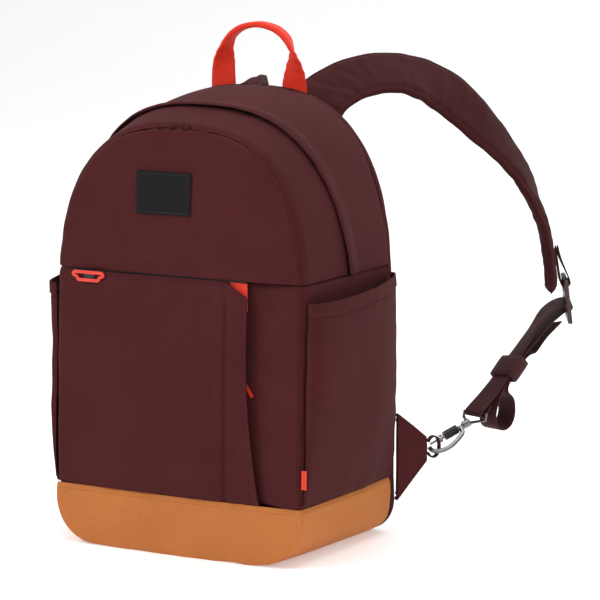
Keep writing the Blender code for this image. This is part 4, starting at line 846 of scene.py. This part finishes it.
# ------------------------------------------------------------ stiffener boards
# Two sheets of rigid plastic board slip in behind the back panel and under the base, so the bag stands up. They
# are die-cut and stay plain, with a fine calendered grain.

BOARD = coated("board_plastic", (0.030, 0.030, 0.032), roughness=0.55, scale=1400.0, bump=0.2, vary=0.2)
finished(["back_board", "base_board"], BOARD, 0.0003)

# ------------------------------------------------------------ haul handle
# A length of orange webbing, sewn flat to the back panel at both feet and folded double over its crown so that
# it makes a round grip. A row of stitches closes the fold.

ORANGE_WEB = cloth_material("handle_webbing", (0.72, 0.030, 0.010), weave=1300, fleck=0.12, roughness=0.66,
                            sheen=0.05, bump=0.35, shade=0.05, specular=0.25)
HANDLE_Y = 0.073936


def swept(name, stations, outline, material, body, nodes, step=0.0016):
    """A band or pad run along its stations with an outline of (across, out, uv) for a place and size."""
    centres = [Vector(c) for c, _, _, _ in stations]
    count = len(centres)
    reach = [0.0]
    for a, b in zip(centres, centres[1:]):
        reach.append(reach[-1] + (b - a).length)
    rings, travelled = [], 0.0
    for i in range(count - 1):
        before, after = centres[max(i - 1, 0)], centres[min(i + 2, count - 1)]
        steps_here = max(2, int((reach[i + 1] - reach[i]) / step))
        for k in range(steps_here + (1 if i == count - 2 else 0)):
            t = k / steps_here
            c0, c1, c2, c3 = before, centres[i], centres[i + 1], after
            spot = 0.5 * ((2 * c1) + (c2 - c0) * t + (2 * c0 - 5 * c1 + 4 * c2 - c3) * t * t
                          + (3 * c1 - 3 * c2 + c3 - c0) * t ** 3)
            run = (c2 - c0) + 2 * (2 * c0 - 5 * c1 + 4 * c2 - c3) * t + 3 * (3 * c1 - 3 * c2 + c3 - c0) * t * t
            soft = t * t * (3 - 2 * t)
            hint = Vector(stations[i][1]).lerp(Vector(stations[i + 1][1]), soft)
            width = stations[i][2] + (stations[i + 1][2] - stations[i][2]) * soft
            thick = stations[i][3] + (stations[i + 1][3] - stations[i][3]) * soft
            rings.append((spot, run.normalized(), hint, width, thick))
    verts, uvs, faces = [], [], []
    for n, (spot, run, hint, width, thick) in enumerate(rings):
        if n:
            travelled += (spot - rings[n - 1][0]).length
        side = (hint - run * hint.dot(run)).normalized()
        out = run.cross(side)
        for across, lift, u in outline(travelled, travelled / reach[-1], width, thick):
            verts.append(spot + side * across + out * lift)
            uvs.append((u, travelled))
    around = len(verts) // len(rings)
    for n in range(len(rings) - 1):
        for k in range(around):
            m = (k + 1) % around
            faces.append((n * around + k, n * around + m, (n + 1) * around + m, (n + 1) * around + k))
    faces.append(tuple(reversed(range(around))))
    faces.append(tuple((len(rings) - 1) * around + k for k in range(around)))
    mesh = bpy.data.meshes.new(name)
    mesh.from_pydata([tuple(v) for v in verts], [], faces)
    layer = mesh.uv_layers.new(name="cut")
    for loop in mesh.loops:
        layer.data[loop.index].uv = uvs[loop.vertex_index]
    work = bmesh.new()
    work.from_mesh(mesh)
    bmesh.ops.recalc_face_normals(work, faces=work.faces)
    work.to_mesh(mesh)
    work.free()
    mesh.polygons.foreach_set("use_smooth", [True] * len(mesh.polygons))
    mesh.materials.append(material)
    made = bpy.data.objects.new(name, mesh)
    bpy.context.scene.collection.objects.link(made)
    if body:
        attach(made, body)
    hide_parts(*nodes)
    return made


def flat_web(travelled, share, width, thick):
    """Outline of a webbing: rolled selvedges and fine ribs across its faces."""
    places = np.linspace(-1, 1, 22)
    rib = 0.00004 * math.sin(travelled * 2 * math.pi / 0.0016)
    top = [(width / 2 * a, thick / 2 * (1 - abs(a) ** 9) ** 0.5 + rib, width / 2 * a) for a in places]
    low = [(width / 2 * a, -thick / 2 * (1 - abs(a) ** 9) ** 0.5 - rib, width / 2 * a + 0.04)
           for a in places[1:-1]]
    return top + low[::-1]


handle_half = ((1.00, -0.0200, 0.0245, 0.0021, 0.0), (1.00, -0.0060, 0.0245, 0.0021, 0.0),
               (1.00, 0.0005, 0.0242, 0.0021, 0.02), (1.00, 0.0080, 0.0225, 0.0024, 0.10),
               (0.985, 0.0160, 0.0200, 0.0030, 0.26), (0.955, 0.0240, 0.0172, 0.0037, 0.48),
               (0.895, 0.0320, 0.0150, 0.0044, 0.74), (0.76, 0.0405, 0.0134, 0.0050, 0.93),
               (0.52, 0.0470, 0.0130, 0.0052, 1.0), (0.26, 0.0500, 0.0130, 0.0052, 1.0))
handle_run = [((-0.0355 * share, HANDLE_Y, 0.3943 + rise), (1 - turned, turned * 1.0001, 0), width, thick)
              for share, rise, width, thick, turned in handle_half]
handle_run += [((0, HANDLE_Y, 0.4454), (0, 1, 0), 0.0130, 0.0052)]
handle_run += [((-x, y, z), (-hx, hy, 0), width, thick) for (x, y, z), (hx, hy, _), width, thick
               in reversed(handle_run[:-1])]
handle = swept("haul_handle_webbing", handle_run, flat_web, ORANGE_WEB, None,
               ["haul_handle", "handle_foot_left", "handle_foot_right"], step=0.0008)
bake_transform(handle)

# ------------------------------------------------------------ shoulder straps
# Each strap is a foam pad between two layers of shell cloth, sewn into the top of the back panel. Its edges are
# bound, the cloth wrinkles across it where it bends, and it ends in a buckle tab.

right_pad = ((.046, .0796, .3460, .060, 63), (.046, .0812, .3600, .060, 63), (.048, .0930, .3760, .060, 54),
             (.055, .1180, .3890, .060, 46), (.068, .1420, .3970, .060, 42), (.083, .1640, .3990, .060, 39),
             (.097, .1820, .3950, .060, 39), (.110, .2000, .3860, .060, 42), (.124, .2160, .3730, .060, 42),
             (.138, .2290, .3560, .058, 39), (.151, .2440, .3370, .056, 32), (.164, .2540, .3170, .054, 25),
             (.175, .2600, .2980, .051, 19), (.187, .2620, .2720, .048, 8), (.197, .2600, .2450, .045, 3),
             (.204, .2540, .2200, .043, 2), (.208, .2490, .1960, .040, 2))
left_pad = ((.046, .0796, .3460, .060, 63), (.046, .0812, .3580, .060, 63), (.047, .0930, .3710, .060, 54),
            (.050, .1120, .3760, .060, 46), (.056, .1400, .3740, .060, 42), (.064, .1660, .3660, .060, 39),
            (.074, .1880, .3500, .060, 37), (.085, .2040, .3280, .060, 35), (.097, .2140, .3020, .059, 33),
            (.108, .2190, .2740, .057, 31), (.118, .2190, .2460, .054, 29), (.127, .2140, .2190, .050, 27),
            (.135, .2060, .1930, .045, 25), (.140, .1990, .1740, .041, 25))
STRAP_THICK = 0.0115


# The strap cloth is a darker copy of the shell cloth; the darkening is painted shade on the straps.
SHADED_STRAP_CLOTH = cloth_material("strap_cloth_painted_shade", (0.046, 0.0092, 0.0098), weave=1500, fleck=0.18, sheen=0.02,
                             shade=0.08, bump=0.3, specular=0.08)


def pad_outline(seed):
    """Outlines along a strap pad: domed faces, bound edges, and wrinkles that seed shifts."""
    def outline(travelled, share, width, thick):
        end = max(0.02, min(1.0, (1 - share) * 60, share * 40 + 0.35)) ** 0.5
        left_over = travelled / share - travelled if share > 0.5 else 1.0
        narrow = math.sqrt(max(0.03, 1 - max(0.0, 1 - left_over / (width * 0.40)) ** 2))
        ring = []
        for face in (1, -1):
            for n in range(34):
                a = -1 + 2 * n / 33 if face > 0 else 1 - 2 * (n + 1) / 35
                edge = (1 - abs(a)) * width / 2
                dome = thick / 2 * min(1.0, edge / 0.011) ** 0.42 * (0.93 + 0.07 * math.cos(a * 3))
                binding = 0.0
                if edge < 0.0044:
                    binding = 0.0019 * math.sqrt(max(0.0, 1 - ((edge - 0.0022) / 0.0022) ** 2))
                groove = 0.0011 * math.exp(-((edge - 0.0052) / 0.0011) ** 2)
                across = noise.noise((travelled / 0.0085, a * 1.1, seed + face))
                long = noise.noise((travelled / 0.032, a * 0.7, seed + 9 * face))
                inner = min(1.0, edge / 0.009)
                lift = max(dome - groove, binding) + inner * (0.0011 * across + 0.0013 * long)
                ring.append((a * width / 2 * narrow, face * max(lift, 0.0003) * end,
                             a * width / 2 + (0.1 if face < 0 else 0)))
        return ring
    return outline


OUTWARD = Vector((0.45, -0.88, 0.15))
for side, name, route in ((1, "right", right_pad), (-1, "left", left_pad)):
    spots = [Vector(row[:3]) for row in route]
    stations = []
    for i, (_, _, _, width, twist) in enumerate(route):
        along = (spots[min(i + 1, len(route) - 1)] - spots[max(i - 1, 0)]).normalized()
        level = (OUTWARD - along * OUTWARD.dot(along)).normalized()
        turned = math.radians(twist)
        hint = level * math.cos(turned) + along.cross(level) * math.sin(turned)
        mirror = Vector((side, 1, 1))
        stations.append((spots[i] * mirror, hint * mirror, width, STRAP_THICK))
    strap = swept(f"strap_pad_cloth_{name}", stations, pad_outline(3.0 * side), SHADED_STRAP_CLOTH, "bag",
                  [f"strap_pad_{name}"], step=0.0011)

# ------------------------------------------------------------ webbings, buckle tabs and keeper
# Dark burgundy polyester webbing, woven in fine ribs. Each is a finer copy of its solid: its long edges stay
# crisp and its bends are rounded.

WEB = cloth_material("strap_webbing", (0.050, 0.0100, 0.0112), weave=950, fleck=0.34, roughness=0.66, sheen=0.04,
                     bump=0.75, by_uv=False, shade=0.06, specular=0.2)


def refined(name, node, material, body, levels=2, sharp=50, crease=0.8, edge=0.0):
    """A finer copy of a CAD piece, with rounded bends and crisp long edges, which replaces it."""
    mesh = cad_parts[node].data.copy()
    mesh.name = name
    work = bmesh.new()
    work.from_mesh(mesh)
    bmesh.ops.remove_doubles(work, verts=work.verts, dist=2e-5)
    bmesh.ops.join_triangles(work, faces=work.faces, angle_face_threshold=math.radians(30),
                             angle_shape_threshold=math.radians(70))
    keep = work.edges.layers.float.get("crease_edge") or work.edges.layers.float.new("crease_edge")
    for side_edge in work.edges:
        if len(side_edge.link_faces) == 2 and side_edge.calc_face_angle() > math.radians(sharp):
            side_edge[keep] = crease
    work.to_mesh(mesh)
    work.free()
    mesh.polygons.foreach_set("use_smooth", [True] * len(mesh.polygons))
    mesh.materials.clear()
    mesh.materials.append(material)
    made = bpy.data.objects.new(name, mesh)
    bpy.context.scene.collection.objects.link(made)
    fine = made.modifiers.new("fine", "SUBSURF")
    fine.levels = fine.render_levels = levels
    if edge:
        soft = made.modifiers.new("edge", "BEVEL")
        soft.width, soft.segments, soft.limit_method, soft.angle_limit = edge, 2, "ANGLE", math.radians(45)
    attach(made, body)
    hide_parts(node)
    return made


for node, body in (("strap_webbing_right", "bag"), ("strap_webbing_left", "bag"), ("wing_loop_right", "bag"),
                   ("buckle_tab_right", "bag"), ("buckle_tab_left", "bag"), ("webbing_keeper_right", "keeper")):
    refined(f"{node}_woven", node, WEB, body)

# ------------------------------------------------------------ wings
# A wing is a triangle of two quilted layers of shell cloth that carries the lower webbing away from the side. Its
# root is sewn into the rear seam and its tip is turned over and stitched.

wing_tip, wing_root = Vector((0.1520, 0.1150, 0.0)), Vector((0.1336, 0.0835, 0.0))
wing_away = (wing_tip - wing_root).normalized()
reach = (wing_tip - wing_root).length + 0.0010
for side, name in ((1, "right"), (-1, "left")):
    def wing_point(u, v):
        away = -reach + (reach - 0.0064) * u
        if u < 0.5:
            low, high = 0.0290 + 0.016 * u * 2, 0.1080 - 0.012 * u * 2
        else:
            low, high = 0.0450 + 0.016 * (u * 2 - 1), 0.0960 - 0.0125 * (u * 2 - 1)
        spot = wing_tip + wing_away * away
        return (side * (spot.x + wing_away.y * 0.0019), spot.y - wing_away.x * 0.0019, low + (high - low) * v)

    wing = Cloth(wing_point, 60, 70, (side * wing_away.y, -wing_away.x, 0))
    for away in (wing.low, wing.top):
        wing.rise -= 0.0010 * np.exp(-(away / 0.0016) ** 2) + 0.0006 * np.exp(-((away - 0.0050) / 0.0009) ** 2)
    wing.rise += 0.0006 * field(wing.points, (40, 40, 40), 3.0)
    sewn(f"wing_cloth_{name}", wing, SHELL, "bag", [f"wing_{name}"], thickness=0.0036, edge=0.0007)

# ------------------------------------------------------------ ladder locks
# Moulded acetal buckles: the tab holds the upper slot and the webbing runs over the bar.

ACETAL = coated("buckle_acetal", (0.042, 0.0095, 0.0105), roughness=0.40, scale=1500.0, bump=0.10, vary=0.15,
                wear=0.006)
finished(["ladder_lock_left", "ladder_lock_right"], ACETAL, 0.0006)

# ------------------------------------------------------------ clipped-on hook
# A locking snap hook of polished steel is clipped through the wing's loop. Its gate turns on a rivet and a
# knurled dark sleeve locks it.

STEEL = coated("hook_steel_finish", (0.190, 0.186, 0.184), roughness=0.28, metallic=1.0, scale=700.0, bump=0.05,
               vary=0.12, wear=0.03)
DARK_STEEL = coated("sleeve_steel_finish", (0.040, 0.038, 0.040), roughness=0.36, metallic=1.0, scale=1800.0,
                    bump=0.35, vary=0.2)
finished(["hook_body", "hook_gate", "hook_swivel_ring"], STEEL, 0.0003)
finished(["hook_gate_pin", "hook_lock_sleeve"], DARK_STEEL, 0.0002)
for name in ("hook_body", "hook_gate", "hook_swivel_ring", "hook_lock_sleeve"):
    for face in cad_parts[name].data.polygons:
        face.use_smooth = True

# ------------------------------------------------------------ floor, light and camera
# A sheet of white paper is swept up behind the bag. Four soft round lamps and a pale surround light it, and the
# camera has a long lens. It stands in front, towards the wearer's right, and a little above the bag.

paper = bpy.data.materials.new("studio_paper")
paper.use_nodes = True
paper_shader = paper.node_tree.nodes["Principled BSDF"]
grain = wired(paper.node_tree.nodes, "ShaderNodeTexNoise", (("Scale", 60.0), ("Detail", 4.0)))
relief = wired(paper.node_tree.nodes, "ShaderNodeBump", (("Strength", 0.02),), Height=grain.outputs["Fac"])
paper.node_tree.links.new(relief.outputs["Normal"], paper_shader.inputs["Normal"])
paper_shader.inputs["Base Color"].default_value = (0.93, 0.93, 0.93, 1)
paper_shader.inputs["Roughness"].default_value = 0.9
paper_shader.inputs["Emission Color"].default_value = (1, 1, 1, 1)
paper_shader.inputs["Emission Strength"].default_value = 0.30
sweep = []
for k in range(25):
    turned = math.pi / 2 * min(max((k - 6) / 12, 0), 1)
    if k < 6:
        sweep.append((-3.5 + k * 1.0, 0.0))
    elif k <= 18:
        sweep.append((2.2 + 1.6 * math.sin(turned), 1.6 * (1 - math.cos(turned))))
    else:
        sweep.append((3.8, 1.6 + 0.6 * (k - 18)))
floor_mesh = bpy.data.meshes.new("floor")
floor_points = [(x, y, z - 0.00005) for y, z in sweep for x in (-5.0, 5.0)]
floor_faces = [(2 * k, 2 * k + 1, 2 * k + 3, 2 * k + 2) for k in range(len(sweep) - 1)]
floor_mesh.from_pydata(floor_points, [], floor_faces)
floor_mesh.polygons.foreach_set("use_smooth", [True] * len(floor_mesh.polygons))
floor_mesh.materials.append(paper)
floor = bpy.data.objects.new("floor", floor_mesh)
bpy.context.scene.collection.objects.link(floor)

for name, spot, size, power, aim in (
        ("key", (-1.5, -1.6, 1.9), 1.6, 34.0, (0, 0, 0.2)), ("fill", (1.9, -1.5, 1.0), 1.6, 13.0, (0, 0, 0.2)),
        ("top", (0.1, 0.3, 2.3), 2.0, 30.0, (0, 0, 0.1)), ("rear", (0.9, 2.0, 1.6), 1.6, 12.0, (0, 0, 0.3))):
    data = bpy.data.lights.new(name, "AREA")
    data.shape, data.size, data.energy = "DISK", size, power
    lamp = bpy.data.objects.new(name, data)
    lamp.location = spot
    lamp.rotation_euler = (Vector(aim) - Vector(spot)).to_track_quat("-Z", "Y").to_euler()
    bpy.context.scene.collection.objects.link(lamp)
bpy.context.scene.view_settings.view_transform = "Standard"
world = bpy.data.worlds.new("studio")
bpy.context.scene.world = world
world.use_nodes = True
world.node_tree.nodes["Background"].inputs["Color"].default_value = (1, 1, 1, 1)
world.node_tree.nodes["Background"].inputs["Strength"].default_value = 0.40

azimuth, pitch, distance = math.radians(27.77), math.radians(9.417), 2.6129
backwards = Vector((math.sin(azimuth) * math.cos(pitch), -math.cos(azimuth) * math.cos(pitch), math.sin(pitch)))
rightwards = Vector((math.cos(azimuth), math.sin(azimuth), 0))
upwards = backwards.cross(rightwards)
lens = bpy.data.cameras.new("camera")
lens.lens, lens.sensor_width = 180.0, 36.0
camera = bpy.data.objects.new("camera", lens)
camera.matrix_world = Matrix((rightwards, upwards, backwards)).transposed().to_4x4()
camera.location = Vector((0, 0, 0.2)) + rightwards * 0.0707 + upwards * 0.0104 + backwards * distance
bpy.context.scene.collection.objects.link(camera)
bpy.context.scene.camera = camera
